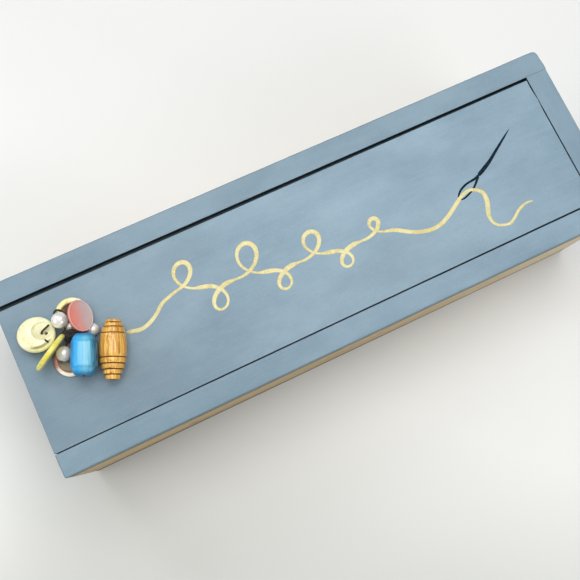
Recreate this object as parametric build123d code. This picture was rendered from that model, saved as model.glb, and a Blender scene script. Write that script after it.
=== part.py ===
from build123d import *
import os
from math import sin, cos, radians, hypot

# ---------------------------------------------------------------------------
# Long wooden box with a sliding lid, for buttons, bobbins and thread.
# Row frame: origin at the centre of the underside, +X towards the closed
# end, +Y towards the back side, +Z up. Millimetres.
# ---------------------------------------------------------------------------

# Box
LENGTH = 326.0          # over the two ends
WIDTH = 105.0           # over the two long sides
HEIGHT = 88.0           # floor to the top of the sides and lid
SIDE_T = 12.5           # long side boards
END_T = 13.0            # end boards, housed between the sides
BOTTOM_T = 6.0          # bottom board, nailed on under the walls
CORNER_CLIP = 2.5       # worn-off corner at the closed end, back
EDGE_R = 1.2            # eased outer arrises

# Groove for the lid
GROOVE_D = 5.0          # how far it is cut into each wall
GROOVE_Z0 = 79.0        # groove floor
GROOVE_Z1 = 84.0        # underside of the lip over it

# Lid: a board with a rebated edge, the tongue runs in the grooves
LID_Z0 = 79.2
TONGUE_Z1 = 83.7
LID_Z1 = 88.0
TONGUE_PLAY = 0.3       # sideways play of the tongue in the groove
GAP_BACK_L, GAP_BACK_R = 2.45, 1.77     # field to back side, at left and right
GAP_FRONT_L, GAP_FRONT_R = 0.45, 0.80   # field to front side
GAP_END = 0.5                           # field to the closed end

# Brads
BRAD_R = 0.8
BRAD_HEAD_R = 1.5
BRAD_HEAD_T = 0.9
BRAD_LEN = 30.0
BRAD_SUNK = 0.4
BRAD_CLEAR = 0.03

XL, XR = -LENGTH / 2, LENGTH / 2
YB, YF = WIDTH / 2, -WIDTH / 2
INX = XR - END_T                 # inner face of the closed end
INXL = XL + END_T                # inner face of the open end's board
INY = YB - SIDE_T                # inner faces of the sides


def box(x0, x1, y0, y1, z0, z1):
    return Pos((x0 + x1) / 2, (y0 + y1) / 2, (z0 + z1) / 2) * Box(x1 - x0, y1 - y0, z1 - z0)


def at(pos, normal, x_dir=None):
    """Location with its local Z along normal."""
    if x_dir is None:
        return Plane(origin=pos, z_dir=normal).location
    return Plane(origin=pos, x_dir=x_dir, z_dir=normal).location


def turned(points, closed=True):
    """Solid of revolution about local Z from (r, z) points joined by lines."""
    wire = Polyline(*[(r, 0, z) for r, z in points], close=closed)
    return revolve(make_face(wire), Axis.Z)


parts = {}

# ---------------------------------------------------------------------------
# Brad positions. Side brads go through the long sides into the end boards,
# bottom brads go up through the bottom board into the walls.
# ---------------------------------------------------------------------------
side_brads = []
for sign in (-1, 1):
    for x, zs in ((XR - END_T / 2, (16.0, 42.0, 67.0)), (XL + END_T / 2, (16.0, 42.0, 67.0))):
        for z in zs:
            side_brads.append(((x, sign * (YB - BRAD_SUNK), z), (0, sign, 0)))

bottom_brads = []
for sign in (-1, 1):
    for x in (-128.0, -64.0, 0.0, 64.0, 128.0):
        bottom_brads.append(((x, sign * (YB - SIDE_T / 2), BRAD_SUNK), (0, 0, -1)))
for x in (XL + END_T / 2, XR - END_T / 2):
    bottom_brads.append(((x, 0.0, BRAD_SUNK), (0, 0, -1)))


def brad(pos, out, grow=0.0):
    """One brad: flat head, round shank. pos is the head's face centre, out its outward normal."""
    head = Pos(0, 0, -BRAD_HEAD_T / 2) * Cylinder(BRAD_HEAD_R + grow, BRAD_HEAD_T)
    length = BRAD_LEN if out[2] == 0 else 26.0
    shank = Pos(0, 0, -(BRAD_HEAD_T + length) / 2) * Cylinder(BRAD_R + grow, length - BRAD_HEAD_T)
    body = head + shank
    if grow:
        # pilot hole, open to the surface and a little longer than the brad
        body = body + Pos(0, 0, BRAD_SUNK) * Cylinder(BRAD_HEAD_R + grow, 2 * BRAD_SUNK)
        body = body + Pos(0, 0, -length) * Cylinder(BRAD_R + grow, 1.0)
    return at(pos, out) * body


def drill(shape, brads):
    for pos, out in brads:
        shape = shape - brad(pos, out, BRAD_CLEAR)
    return shape


# ---------------------------------------------------------------------------
# Walls
# ---------------------------------------------------------------------------
def side_board(sign):
    y0, y1 = (INY, YB) if sign > 0 else (YF, -INY)
    board = box(XL, XR, y0, y1, BOTTOM_T, HEIGHT)
    g0, g1 = (INY - 1, INY + GROOVE_D) if sign > 0 else (-INY - GROOVE_D, -INY + 1)
    board = board - box(XL - 1, INX + GROOVE_D, g0, g1, GROOVE_Z0, GROOVE_Z1)
    yo = YB if sign > 0 else YF
    if sign > 0:
        corner = board.edges().filter_by(Axis.Z).filter_by(
            lambda e: abs(e.center().X - XR) < 1e-3 and abs(e.center().Y - yo) < 1e-3)
        board = chamfer(corner, CORNER_CLIP)
    top_outer = board.edges().filter_by(Axis.X).filter_by(
        lambda e: abs(e.center().Y - yo) < 1e-3 and abs(e.center().Z - HEIGHT) < 1e-3)
    board = fillet(top_outer, EDGE_R)
    side = [b for b in side_brads if b[1][1] == sign]
    under = [b for b in bottom_brads if b[0][1] * sign > 1]
    return drill(drill(board, side), under)


parts["front_side"] = side_board(-1)
parts["back_side"] = side_board(+1)

# Closed end: full height, grooved for the lid's end tongue
closed_end = box(INX, XR, -INY, INY, BOTTOM_T, HEIGHT)
closed_end = closed_end - box(INX - 1, INX + GROOVE_D, -INY - 1, INY + 1, GROOVE_Z0, GROOVE_Z1)
closed_end = fillet(closed_end.edges().filter_by(Axis.Y).filter_by(
    lambda e: abs(e.center().X - XR) < 1e-3 and abs(e.center().Z - HEIGHT) < 1e-3), EDGE_R)
closed_end = drill(closed_end, [b for b in side_brads if b[0][0] > 0])
closed_end = drill(closed_end, [b for b in bottom_brads if b[0][1] == 0 and b[0][0] > 0])
parts["closed_end"] = closed_end

# Open end: stops at the groove floor, so the lid slides out over it
open_end = box(XL, INXL, -INY, INY, BOTTOM_T, GROOVE_Z0)
open_end = drill(open_end, [b for b in side_brads if b[0][0] < 0])
open_end = drill(open_end, [b for b in bottom_brads if b[0][1] == 0 and b[0][0] < 0])
parts["open_end"] = open_end

# Bottom board
bottom = box(XL, XR, YF, YB, 0, BOTTOM_T)
bottom = chamfer(bottom.edges().filter_by(Axis.Z).filter_by(
    lambda e: e.center().X > 0 and e.center().Y > 0), CORNER_CLIP)
parts["bottom_panel"] = drill(bottom, bottom_brads)

parts["side_brads"] = Compound(children=[brad(p, o) for p, o in side_brads])
parts["bottom_brads"] = Compound(children=[brad(p, o) for p, o in bottom_brads])

# ---------------------------------------------------------------------------
# Sliding lid
# ---------------------------------------------------------------------------
t_y = INY + GROOVE_D - TONGUE_PLAY
t_x = INX + GROOVE_D - TONGUE_PLAY
tongue = box(XL, t_x, -t_y, t_y, LID_Z0, TONGUE_Z1)
f_x = INX - GAP_END
outline = Polyline(
    (XL, -(INY - GAP_FRONT_L)),
    (f_x, -(INY - GAP_FRONT_R)),
    (f_x, INY - GAP_BACK_R),
    (XL, INY - GAP_BACK_L),
    close=True,
)
field = Pos(0, 0, LID_Z0) * extrude(make_face(outline), LID_Z1 - LID_Z0)
lid = tongue + field
lid = fillet(lid.edges().filter_by(
    lambda e: abs(e.center().Z - LID_Z1) < 1e-3), 0.4)
parts["lid"] = lid

# ---------------------------------------------------------------------------
# Handle: buttons, pearls and beads bound together on black elastic cord and
# stuck to the lid near its open end
# ---------------------------------------------------------------------------
CORD_R = 0.5
HOLE_R = 0.9

# Wooden barrel bead: grooved rings at both ends, smooth waist between
BARREL_POS = (-116.39, -4.98, 94.90)
BARREL_DIR = (0.3987, 0.9171, 0.0)
BARREL_BORE_R = 1.3
barrel_rings = [
    # z0, z1, r0, r1: ring from z0 to z1 along the bead's axis
    (-14.93, -12.62, 3.55, 3.70), (-12.38, -10.10, 4.45, 4.65), (-9.86, -7.28, 5.40, 5.60),
    (-7.04, -4.30, 6.20, 6.42), (8.10, 10.90, 5.62, 5.40), (11.14, 13.14, 4.70, 4.45),
    (13.34, 14.83, 3.70, 3.55),
]
pts = [(BARREL_BORE_R, -14.93)]
for z0, z1, r0, r1 in barrel_rings[:4]:
    pts += [(r0, z0), (r1, z1), (r1 - 0.55, z1 + 0.02), (r1 - 0.55, z1 + 0.20)]
pts += [(6.45, -4.00), (6.66, -2.6), (6.78, -1.1), (6.82, 0.5), (6.76, 2.2), (6.60, 4.0),
        (6.36, 5.7), (6.02, 7.4), (5.94, 7.75), (5.30, 7.80), (5.30, 8.08)]
for i, (z0, z1, r0, r1) in enumerate(barrel_rings[4:]):
    pts += [(r0, z0), (r1, z1)]
    if i < 2:
        pts += [(r1 - 0.9, z1 + 0.02), (r1 - 0.9, z1 + 0.18)]
pts += [(BARREL_BORE_R, 14.83)]
parts["barrel_bead"] = at(BARREL_POS, BARREL_DIR) * turned(pts)

# Blue bead: a rounded square tube, rolled a little on its axis
BLUE_POS = (-129.75, -1.95, 97.62)
BLUE_DIR = (0.385, 0.9229, 0.0)
BLUE_SIDE, BLUE_CORNER, BLUE_LEN, BLUE_ROLL, BLUE_END_R = 12.3, 4.2, 20.5, 12.0, 2.2
profile = Rot(0, 0, BLUE_ROLL) * RectangleRounded(BLUE_SIDE, BLUE_SIDE, BLUE_CORNER)
blue = Pos(0, 0, -BLUE_LEN / 2) * extrude(profile, BLUE_LEN)
ends = blue.edges().filter_by(lambda e: abs(abs(e.center().Z) - BLUE_LEN / 2) < 1e-3)
blue = fillet(ends, BLUE_END_R)
blue = blue - Cylinder(HOLE_R, BLUE_LEN + 2)
parts["blue_bead"] = at(BLUE_POS, BLUE_DIR) * blue

# Pearls
PEARLS = {
    "pearl_upper": ((-134.28, 19.18, 95.90), 4.20, (0.10, -0.80, -0.35)),
    "pearl_right": ((-121.80, 9.05, 91.40), 3.30, (-0.97, 0.10, 0.0)),
    "pearl_lower": ((-138.89, 3.16, 94.62), 3.97, (0.52, 0.80, -0.20)),
    "seed_pearl": ((-131.10, 14.80, 93.40), 1.75, (-0.60, -0.75, -0.30)),
}
for name, (pos, r, hole_dir) in PEARLS.items():
    pearl = Sphere(r) - at((0, 0, 0), hole_dir) * Cylinder(0.45, 2 * r + 2)
    parts[name] = Pos(*pos) * pearl

# Yellow button, standing on its edge
YELLOW_POS = (-143.75, 5.62, 98.95)
YELLOW_N = (-0.5111, 0.8348, 0.2048)
YELLOW_R, YELLOW_T = 10.6, 2.5
yellow = Cylinder(YELLOW_R, YELLOW_T)
yellow = fillet(yellow.edges().filter_by(GeomType.CIRCLE), 1.05)
yellow = yellow - Pos(0, 0, YELLOW_T / 2) * Cone(5.6, 6.2, 0.8)
for s in (-1, 1):
    yellow = yellow - Pos(s * 2.1, 0, 0) * Cylinder(HOLE_R, 6)
parts["yellow_button"] = at(YELLOW_POS, YELLOW_N) * yellow

# Cream button: thick, domed, with an off-centre dished recess and two holes
CREAM_POS = (-147.66, 17.75, 93.85)
CREAM_N = (0.1202, 0.3106, 0.9429)
CREAM_X = (0.9150, -0.4030, 0.0161)
CREAM_R = 9.35
cream_pts = [(0, -2.7), (5.8, -2.7)]
body_line = Polyline((6.2, 0, -2.7), (0, 0, -2.7), (0, 0, 3.1))
dome = ThreePointArc((0, 0, 3.1), (4.8, 0, 2.75), (8.35, 0, 1.55))
wall = ThreePointArc((8.35, 0, 1.55), (9.35, 0, 0.15), (8.9, 0, -1.3))
foot = Line((8.9, 0, -1.3), (6.2, 0, -2.7))
cream = revolve(make_face([body_line, dome, wall, foot]), Axis.Z)
CREAM_DISH = (3.2, 1.2)     # centre of the recess on the button's face
cream = cream - Pos(CREAM_DISH[0], CREAM_DISH[1], 9.2) * Sphere(7.7)
cream_holes = [(2.9, 0.3), (5.0, 0.2)]
for hx, hy in cream_holes:
    cream = cream - Pos(hx, hy, 0) * Cylinder(0.8, 8)
parts["cream_button"] = at(CREAM_POS, CREAM_N, CREAM_X) * cream


# Shell buttons: flat discs with a raised rim and two holes
def shell_button(r, t, rim, dish, holes=2.0):
    disc = Cylinder(r, t)
    disc = fillet(disc.edges().filter_by(GeomType.CIRCLE), 0.7)
    disc = disc - Pos(0, 0, t / 2) * Cylinder(r - rim, 2 * dish)
    for s in (-1, 1):
        disc = disc - Pos(s * holes, 0, 0) * Cylinder(HOLE_R, t + 2)
    return disc


UPPER_POS = (-128.42, 20.75, 89.70)
LOWER_POS = (-137.80, -0.25, 89.27)
parts["upper_shell_button"] = at(UPPER_POS, (0, 0, 1), (0.80, 0.60, 0)) * shell_button(8.7, 2.4, 2.6, 0.9)
parts["lower_shell_button"] = at(LOWER_POS, (0, 0, 1), (0.92, -0.40, 0)) * shell_button(8.4, 2.3, 2.4, 0.8)

# Pink disc: thin shell button with a fine lip, leaning on the heap
PINK_POS = (-123.55, 15.95, 100.6)
PINK_N = (0.7795, -0.1809, 0.5997)
PINK_R, PINK_T = 7.85, 1.4
pink = Cylinder(PINK_R, PINK_T)
pink = fillet(pink.edges().filter_by(GeomType.CIRCLE), 0.45)
pink = pink - Pos(0, 0, PINK_T / 2 + 0.0) * Cylinder(PINK_R - 0.8, 0.4)
parts["pink_button"] = at(PINK_POS, PINK_N) * pink

# Glue pad and the knot of elastic that ties the heap together
GLUE_POS = (-133.9, 10.9)
parts["glue_pad"] = Pos(GLUE_POS[0], GLUE_POS[1], LID_Z1 + 0.35) * fillet(
    Cylinder(2.6, 0.7).edges().filter_by(GeomType.CIRCLE).sort_by(Axis.Z)[-1:], 0.4)
knot = turned([(0, 0), (1.9, 0), (2.45, 1.4), (2.5, 3.2), (2.0, 5.0), (1.1, 5.9), (0, 6.1)])
parts["cord_knot"] = Pos(GLUE_POS[0], GLUE_POS[1], LID_Z1 + 0.72) * knot


def cord_tube(points, radii):
    """Round cord: straight runs joined by tangent arcs."""
    path = FilletPolyline(*points, radius=radii)
    start = path @ 0
    return sweep(Plane(origin=start, z_dir=path % 0) * Circle(CORD_R), path=path)


# Cord through the cream button: up through one hole and away over its edge
cn, cx = Vector(*CREAM_N).normalized(), Vector(*CREAM_X).normalized()
cy = cn.cross(cx)
co = Vector(*CREAM_POS)


def on_cream(x, y, z):
    return co + cx * x + cy * y + cn * z


parts["cream_cord"] = cord_tube(
    [on_cream(2.9, 0.3, -2.4), on_cream(2.9, 0.3, 2.9), on_cream(6.6, 4.4, 3.2)], [1.2])

# Straight cords through the bores of the two long beads
parts["barrel_cord"] = at(BARREL_POS, BARREL_DIR) * Cylinder(CORD_R, 29.6)
parts["blue_cord"] = at(BLUE_POS, BLUE_DIR) * Cylinder(CORD_R, 22.0)

# Cord over the upper shell button, from one edge to the other
SHELL_CORD = [(-137.95, 24.45, 88.80), (-134.90, 25.50, 92.60), (-130.70, 26.30, 91.95),
              (-123.30, 24.40, 91.95), (-118.60, 21.60, 92.50), (-118.10, 18.20, 88.90)]
parts["shell_cord"] = cord_tube(SHELL_CORD, [1.4, 2.0, 4.0, 1.4])

os.makedirs("parts", exist_ok=True)
for name, shape in parts.items():
    export_step(shape, f"parts/{name}.step")
    print(name, len(shape.solids()), round(shape.volume, 1))
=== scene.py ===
import bpy
import bmesh
import math
import numpy as np
from mathutils import Vector, Matrix, noise


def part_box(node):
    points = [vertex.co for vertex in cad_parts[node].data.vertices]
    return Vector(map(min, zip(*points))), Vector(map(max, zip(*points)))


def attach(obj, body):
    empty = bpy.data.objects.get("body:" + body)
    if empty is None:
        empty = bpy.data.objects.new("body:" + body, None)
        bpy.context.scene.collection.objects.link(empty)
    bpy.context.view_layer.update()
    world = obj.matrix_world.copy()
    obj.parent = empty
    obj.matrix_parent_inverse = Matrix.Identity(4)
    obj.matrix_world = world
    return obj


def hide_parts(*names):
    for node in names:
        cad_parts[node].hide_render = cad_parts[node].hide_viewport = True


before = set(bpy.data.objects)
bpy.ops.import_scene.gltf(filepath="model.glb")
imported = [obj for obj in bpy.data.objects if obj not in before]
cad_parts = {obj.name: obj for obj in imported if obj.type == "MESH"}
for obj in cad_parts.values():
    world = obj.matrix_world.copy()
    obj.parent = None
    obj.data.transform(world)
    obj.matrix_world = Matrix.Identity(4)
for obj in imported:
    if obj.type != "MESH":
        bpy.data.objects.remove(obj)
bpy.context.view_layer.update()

MM = 0.001
scene = bpy.context.scene

# ---------------------------------------------------------------------------
# The box's own numbers, read off the frame (metres)
# ---------------------------------------------------------------------------
f_lo, f_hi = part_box("front_side")
b_lo, b_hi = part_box("back_side")
c_lo, c_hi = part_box("closed_end")
o_lo, o_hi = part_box("open_end")
p_lo, p_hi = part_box("bottom_panel")
l_lo, l_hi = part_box("lid")
XL, XR = f_lo.x, f_hi.x
YF, YB = f_lo.y, b_hi.y
TOP = f_hi.z
INY = b_lo.y                  # inner face of the back side; the front one is -INY
INX = c_lo.x                  # inner face of the closed end
FLOOR_IN = p_hi.z
GROOVE_Z0 = o_hi.z            # the open end stops at the groove's floor
GROOVE_Z1 = TOP - 4.0 * MM
GROOVE_D = 5.0 * MM
TONGUE_Z1 = TOP - 4.3 * MM
LID_Z0 = l_lo.z


# ---------------------------------------------------------------------------
# Mesh helpers
# ---------------------------------------------------------------------------
def link(name, mesh, matrix=None):
    ob = bpy.data.objects.new(name, mesh)
    scene.collection.objects.link(ob)
    if matrix is not None:
        ob.matrix_world = matrix
    return ob


def mesh_of(name, verts, faces):
    me = bpy.data.meshes.new(name)
    me.from_pydata([tuple(v) for v in verts], [], [tuple(f) for f in faces])
    me.validate()
    bm = bmesh.new()
    bm.from_mesh(me)
    bmesh.ops.remove_doubles(bm, verts=bm.verts, dist=1e-7)
    bmesh.ops.recalc_face_normals(bm, faces=bm.faces)
    bm.to_mesh(me)
    bm.free()
    return me


def smooth(ob, angle=35.0):
    me = ob.data
    me.polygons.foreach_set("use_smooth", [True] * len(me.polygons))
    me.set_sharp_from_angle(angle=math.radians(angle))
    me.update()
    return ob


def boolean(ob, cutters, op="DIFFERENCE"):
    """ob's mesh with the cutters taken away (or joined), the cutters removed."""
    for c in cutters:
        m = ob.modifiers.new("b", "BOOLEAN")
        m.operation = op
        m.solver = "EXACT"
        m.object = c
    bpy.context.view_layer.update()
    dg = bpy.context.evaluated_depsgraph_get()
    me = bpy.data.meshes.new_from_object(ob.evaluated_get(dg))
    me.name = ob.name
    bm = bmesh.new()
    bm.from_mesh(me)
    bmesh.ops.remove_doubles(bm, verts=bm.verts, dist=2e-6)
    bmesh.ops.dissolve_degenerate(bm, edges=bm.edges, dist=1e-6)
    slits = [e for e in bm.edges if len(e.link_faces) == 1]
    if slits:
        bmesh.ops.holes_fill(bm, edges=slits, sides=8)
    bm.to_mesh(me)
    bm.free()
    ob.modifiers.clear()
    old = ob.data
    ob.data = me
    bpy.data.meshes.remove(old)
    for c in cutters:
        cm = c.data
        bpy.data.objects.remove(c)
        if cm.users == 0:
            bpy.data.meshes.remove(cm)
    return ob


def axis_values(lo, hi, r_lo, r_hi, step):
    """Grid positions along one side: close together over the rounded edges, step apart between."""
    t = [0.0, 0.07, 0.16, 0.27, 0.40, 0.56, 0.76, 1.0]
    vals = [lo + r_lo * k for k in t]
    a, b = lo + r_lo, hi - r_hi
    n = max(1, int(round((b - a) / step)))
    vals += [a + (b - a) * i / n for i in range(1, n)]
    vals += [hi - r_hi * k for k in reversed(t)]
    return vals


def rounded_box(name, lo, hi, radii, step=(6 * MM, 4 * MM, 6 * MM), local=None, wobble=0.0, seed=0.0):
    """A box with rounded arrises. radii: (x-, x+, y-, y+, z-, z+). local(p, radii) may change them by place."""
    lo, hi = Vector(lo), Vector(hi)
    ax = [axis_values(lo[i], hi[i], radii[2 * i], radii[2 * i + 1], step[i]) for i in range(3)]
    verts, faces, index = [], [], {}

    def vid(p):
        key = tuple(round(c * 1e7) for c in p)
        if key not in index:
            index[key] = len(verts)
            verts.append(Vector(p))
        return index[key]

    for i in range(3):
        j, k = (i + 1) % 3, (i + 2) % 3
        for side in (0, 1):
            for a in range(len(ax[j]) - 1):
                for b in range(len(ax[k]) - 1):
                    quad = []
                    for da, db in ((0, 0), (1, 0), (1, 1), (0, 1)):
                        p = [0, 0, 0]
                        p[i] = (lo if side == 0 else hi)[i]
                        p[j] = ax[j][a + da]
                        p[k] = ax[k][b + db]
                        quad.append(vid(p))
                    faces.append(quad if side else quad[::-1])
    out = []
    for p in verts:
        r = local(p, list(radii)) if local else list(radii)
        q, u = Vector(p), [0.0, 0.0, 0.0]
        for i in range(3):
            if p[i] < lo[i] + r[2 * i] and r[2 * i] > 0:
                u[i] = -(lo[i] + r[2 * i] - p[i]) / r[2 * i]
                q[i] = lo[i] + r[2 * i]
            elif p[i] > hi[i] - r[2 * i + 1] and r[2 * i + 1] > 0:
                u[i] = (p[i] - hi[i] + r[2 * i + 1]) / r[2 * i + 1]
                q[i] = hi[i] - r[2 * i + 1]
        n = math.sqrt(sum(c * c for c in u))
        if n > 1e-9:
            m = max(abs(c) for c in u)
            for i in range(3):
                rr = r[2 * i] if u[i] < 0 else r[2 * i + 1]
                q[i] += u[i] / n * m * rr if m < 1 else u[i] / n * rr
        if wobble and n > 1e-9:
            edge = sum(1 for c in u if abs(c) > 1e-6)
            if edge >= 2:
                w = noise.noise(Vector((p.x * 55 + seed, p.y * 55, p.z * 55))) + 0.5 * noise.noise(
                    Vector((p.x * 190 + seed, p.y * 190, p.z * 190)))
                inward = Vector([-c for c in u]).normalized()
                q += inward * wobble * max(0.0, w)
        out.append(q)
    return link(name, mesh_of(name, out, faces))


def plain_box(lo, hi):
    lo, hi = Vector(lo), Vector(hi)
    v = [(x, y, z) for x in (lo.x, hi.x) for y in (lo.y, hi.y) for z in (lo.z, hi.z)]
    f = [(0, 1, 3, 2), (4, 6, 7, 5), (0, 4, 5, 1), (2, 3, 7, 6), (0, 2, 6, 4), (1, 5, 7, 3)]
    return link("cut", mesh_of("cut", v, f))


def turned(name, profile, seg=96, matrix=None, closed=True):
    """Solid of revolution about local Z from (r, z) in mm. closed: the profile is a loop (a bored piece)."""
    verts, faces = [], []
    n = len(profile)
    for i in range(seg):
        a = 2 * math.pi * i / seg
        for r, z in profile:
            verts.append((r * math.cos(a) * MM, r * math.sin(a) * MM, z * MM))
    m = n if closed else n - 1
    for i in range(seg):
        i2 = (i + 1) % seg
        for j in range(m):
            j2 = (j + 1) % n
            faces.append((i * n + j, i2 * n + j, i2 * n + j2, i * n + j2))
    return link(name, mesh_of(name, verts, faces), matrix)


def cyl(r, z0, z1, x=0.0, y=0.0, seg=40, matrix=None, flare=0.0):
    """Cylinder along local Z as a cutter, in mm."""
    prof = [(1e-6, z0), (r + flare, z0), (r, z0 + flare) if flare else (r, z0), (r, z1), (1e-6, z1)]
    if not flare:
        prof = [(1e-6, z0), (r, z0), (r, z1), (1e-6, z1)]
    verts, faces = [], []
    for i in range(seg):
        a = 2 * math.pi * i / seg
        verts.append(((x + r * math.cos(a)) * MM, (y + r * math.sin(a)) * MM, z0 * MM))
        verts.append(((x + r * math.cos(a)) * MM, (y + r * math.sin(a)) * MM, z1 * MM))
    for i in range(seg):
        j = (i + 1) % seg
        faces.append((2 * i, 2 * j, 2 * j + 1, 2 * i + 1))
    faces.append(tuple(2 * i for i in range(seg))[::-1])
    faces.append(tuple(2 * i + 1 for i in range(seg)))
    return link("cut", mesh_of("cut", verts, faces), matrix)


def placed(pos, z_dir, x_dir=None):
    """Matrix with local Z along z_dir at pos (mm)."""
    z = Vector(z_dir).normalized()
    if x_dir is None:
        x_dir = Vector((1, 0, 0)) if abs(z.x) < 0.9 else Vector((0, 1, 0))
    x = Vector(x_dir)
    x = (x - z * x.dot(z)).normalized()
    y = z.cross(x)
    m = Matrix((x, y, z)).transposed().to_4x4()
    m.translation = Vector(pos) * MM
    return m


def arc(cx, cz, r, a0, a1, n):
    """(r, z) points on an arc, degrees."""
    return [(cx + r * math.cos(math.radians(a0 + (a1 - a0) * i / n)),
             cz + r * math.sin(math.radians(a0 + (a1 - a0) * i / n))) for i in range(n + 1)]


def catmull(points, per=8):
    """Points on a smooth line through the given ones (any dimension)."""
    P = [np.array(p, float) for p in points]
    P = [2 * P[0] - P[1]] + P + [2 * P[-1] - P[-2]]
    out = []
    for i in range(1, len(P) - 2):
        p0, p1, p2, p3 = P[i - 1:i + 3]
        for s in range(per):
            t = s / per
            out.append(0.5 * ((2 * p1) + (-p0 + p2) * t + (2 * p0 - 5 * p1 + 4 * p2 - p3) * t * t
                              + (-p0 + 3 * p1 - 3 * p2 + p3) * t ** 3))
    out.append(P[-2])
    return out


# ---------------------------------------------------------------------------
# Material helpers
# ---------------------------------------------------------------------------
class Mat:
    def __init__(self, name):
        self.m = bpy.data.materials.new(name)
        self.m.use_nodes = True
        self.t = self.m.node_tree
        self.t.nodes.clear()
        self.out = self.t.nodes.new("ShaderNodeOutputMaterial")
        self.bsdf = self.t.nodes.new("ShaderNodeBsdfPrincipled")
        self.t.links.new(self.bsdf.outputs[0], self.out.inputs[0])
        self.coord = self.t.nodes.new("ShaderNodeTexCoord").outputs["Object"]

    def put(self, socket, value):
        if hasattr(value, "is_linked") or isinstance(value, bpy.types.NodeSocket):
            self.t.links.new(value, socket)
        elif isinstance(value, (tuple, list)) and len(value) == 3 and socket.type == "RGBA":
            socket.default_value = (*value, 1.0)
        else:
            socket.default_value = value

    def set(self, **kw):
        names = {"color": "Base Color", "rough": "Roughness", "metal": "Metallic", "spec": "Specular IOR Level",
                 "ior": "IOR", "coat": "Coat Weight", "coat_rough": "Coat Roughness", "normal": "Normal",
                 "sss": "Subsurface Weight", "sss_radius": "Subsurface Radius", "sss_scale": "Subsurface Scale",
                 "sheen": "Sheen Weight", "sheen_rough": "Sheen Roughness", "alpha": "Alpha",
                 "transmission": "Transmission Weight", "aniso": "Anisotropic",
                 "film": "Thin Film Thickness", "film_ior": "Thin Film IOR", "coat_normal": "Coat Normal"}
        for k, v in kw.items():
            self.put(self.bsdf.inputs[names[k]], v)
        return self

    def stretch(self, lx, ly, lz, offset=(0, 0, 0), vec=None, rot=(0, 0, 0)):
        """Coordinates in units of lx, ly, lz millimetres."""
        n = self.t.nodes.new("ShaderNodeMapping")
        n.inputs["Scale"].default_value = (1000.0 / lx, 1000.0 / ly, 1000.0 / lz)
        n.inputs["Location"].default_value = offset
        n.inputs["Rotation"].default_value = rot
        self.t.links.new(vec or self.coord, n.inputs["Vector"])
        return n.outputs[0]

    def noise(self, vec, scale=1.0, detail=3.0, rough=0.55, distort=0.0, color=False):
        n = self.t.nodes.new("ShaderNodeTexNoise")
        n.inputs["Scale"].default_value = scale
        n.inputs["Detail"].default_value = detail
        n.inputs["Roughness"].default_value = rough
        n.inputs["Distortion"].default_value = distort
        self.t.links.new(vec, n.inputs["Vector"])
        return n.outputs["Color" if color else "Fac"]

    def voronoi(self, vec, scale=1.0, feature="F1", out="Distance", randomness=1.0):
        n = self.t.nodes.new("ShaderNodeTexVoronoi")
        n.feature = feature
        n.inputs["Scale"].default_value = scale
        n.inputs["Randomness"].default_value = randomness
        self.t.links.new(vec, n.inputs["Vector"])
        return n.outputs[out]

    def math(self, op, a, b=None, c=None, clamp=False):
        n = self.t.nodes.new("ShaderNodeMath")
        n.operation = op
        n.use_clamp = clamp
        for i, v in enumerate((a, b, c)):
            if v is not None:
                self.put(n.inputs[i], v)
        return n.outputs[0]

    def vmath(self, op, a, b=None):
        n = self.t.nodes.new("ShaderNodeVectorMath")
        n.operation = op
        self.put(n.inputs[0], a)
        if b is not None:
            self.put(n.inputs[1], b)
        return n.outputs["Value" if op in ("LENGTH", "DISTANCE", "DOT_PRODUCT") else "Vector"]

    def xyz(self, vec=None):
        n = self.t.nodes.new("ShaderNodeSeparateXYZ")
        self.t.links.new(vec or self.coord, n.inputs[0])
        return n.outputs[0], n.outputs[1], n.outputs[2]

    def normal_xyz(self):
        g = self.t.nodes.new("ShaderNodeTexCoord").outputs["Normal"]
        return self.xyz(g)

    def ramp(self, fac, stops, interp="LINEAR"):
        n = self.t.nodes.new("ShaderNodeValToRGB")
        cr = n.color_ramp
        cr.interpolation = interp
        while len(cr.elements) < len(stops):
            cr.elements.new(0.5)
        for e, (pos, col) in zip(cr.elements, stops):
            e.position = pos
            e.color = (*col, 1.0) if isinstance(col, (tuple, list)) else (col, col, col, 1.0)
        self.t.links.new(fac, n.inputs[0])
        return n.outputs[0]

    def step(self, v, lo, hi, a=0.0, b=1.0, smooth=True):
        """v from lo to hi gives a to b, clamped."""
        n = self.t.nodes.new("ShaderNodeMapRange")
        n.clamp = True
        if smooth:
            n.interpolation_type = "SMOOTHSTEP"
        self.put(n.inputs["Value"], v)
        n.inputs["From Min"].default_value = lo
        n.inputs["From Max"].default_value = hi
        n.inputs["To Min"].default_value = a
        n.inputs["To Max"].default_value = b
        return n.outputs[0]

    def mix(self, fac, a, b, mode="MIX"):
        n = self.t.nodes.new("ShaderNodeMix")
        n.data_type = "RGBA"
        n.blend_type = mode
        ins = [s for s in n.inputs if s.enabled]
        self.put(n.inputs[0], fac)
        self.put(n.inputs[6], a)
        self.put(n.inputs[7], b)
        return n.outputs[2]

    def bump(self, height, distance, strength=1.0, normal=None):
        n = self.t.nodes.new("ShaderNodeBump")
        n.inputs["Strength"].default_value = strength
        n.inputs["Distance"].default_value = distance
        self.put(n.inputs["Height"], height)
        if normal is not None:
            self.t.links.new(normal, n.inputs["Normal"])
        return n.outputs[0]

    def attribute(self, name):
        n = self.t.nodes.new("ShaderNodeAttribute")
        n.attribute_name = name
        return n.outputs["Fac"]


def scale_color(m, col, fac):
    """col times a scalar field."""
    n = m.t.nodes.new("ShaderNodeVectorMath")
    n.operation = "SCALE"
    m.put(n.inputs[0], col)
    m.put(n.inputs["Scale"], fac)
    return n.outputs[0]


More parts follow.
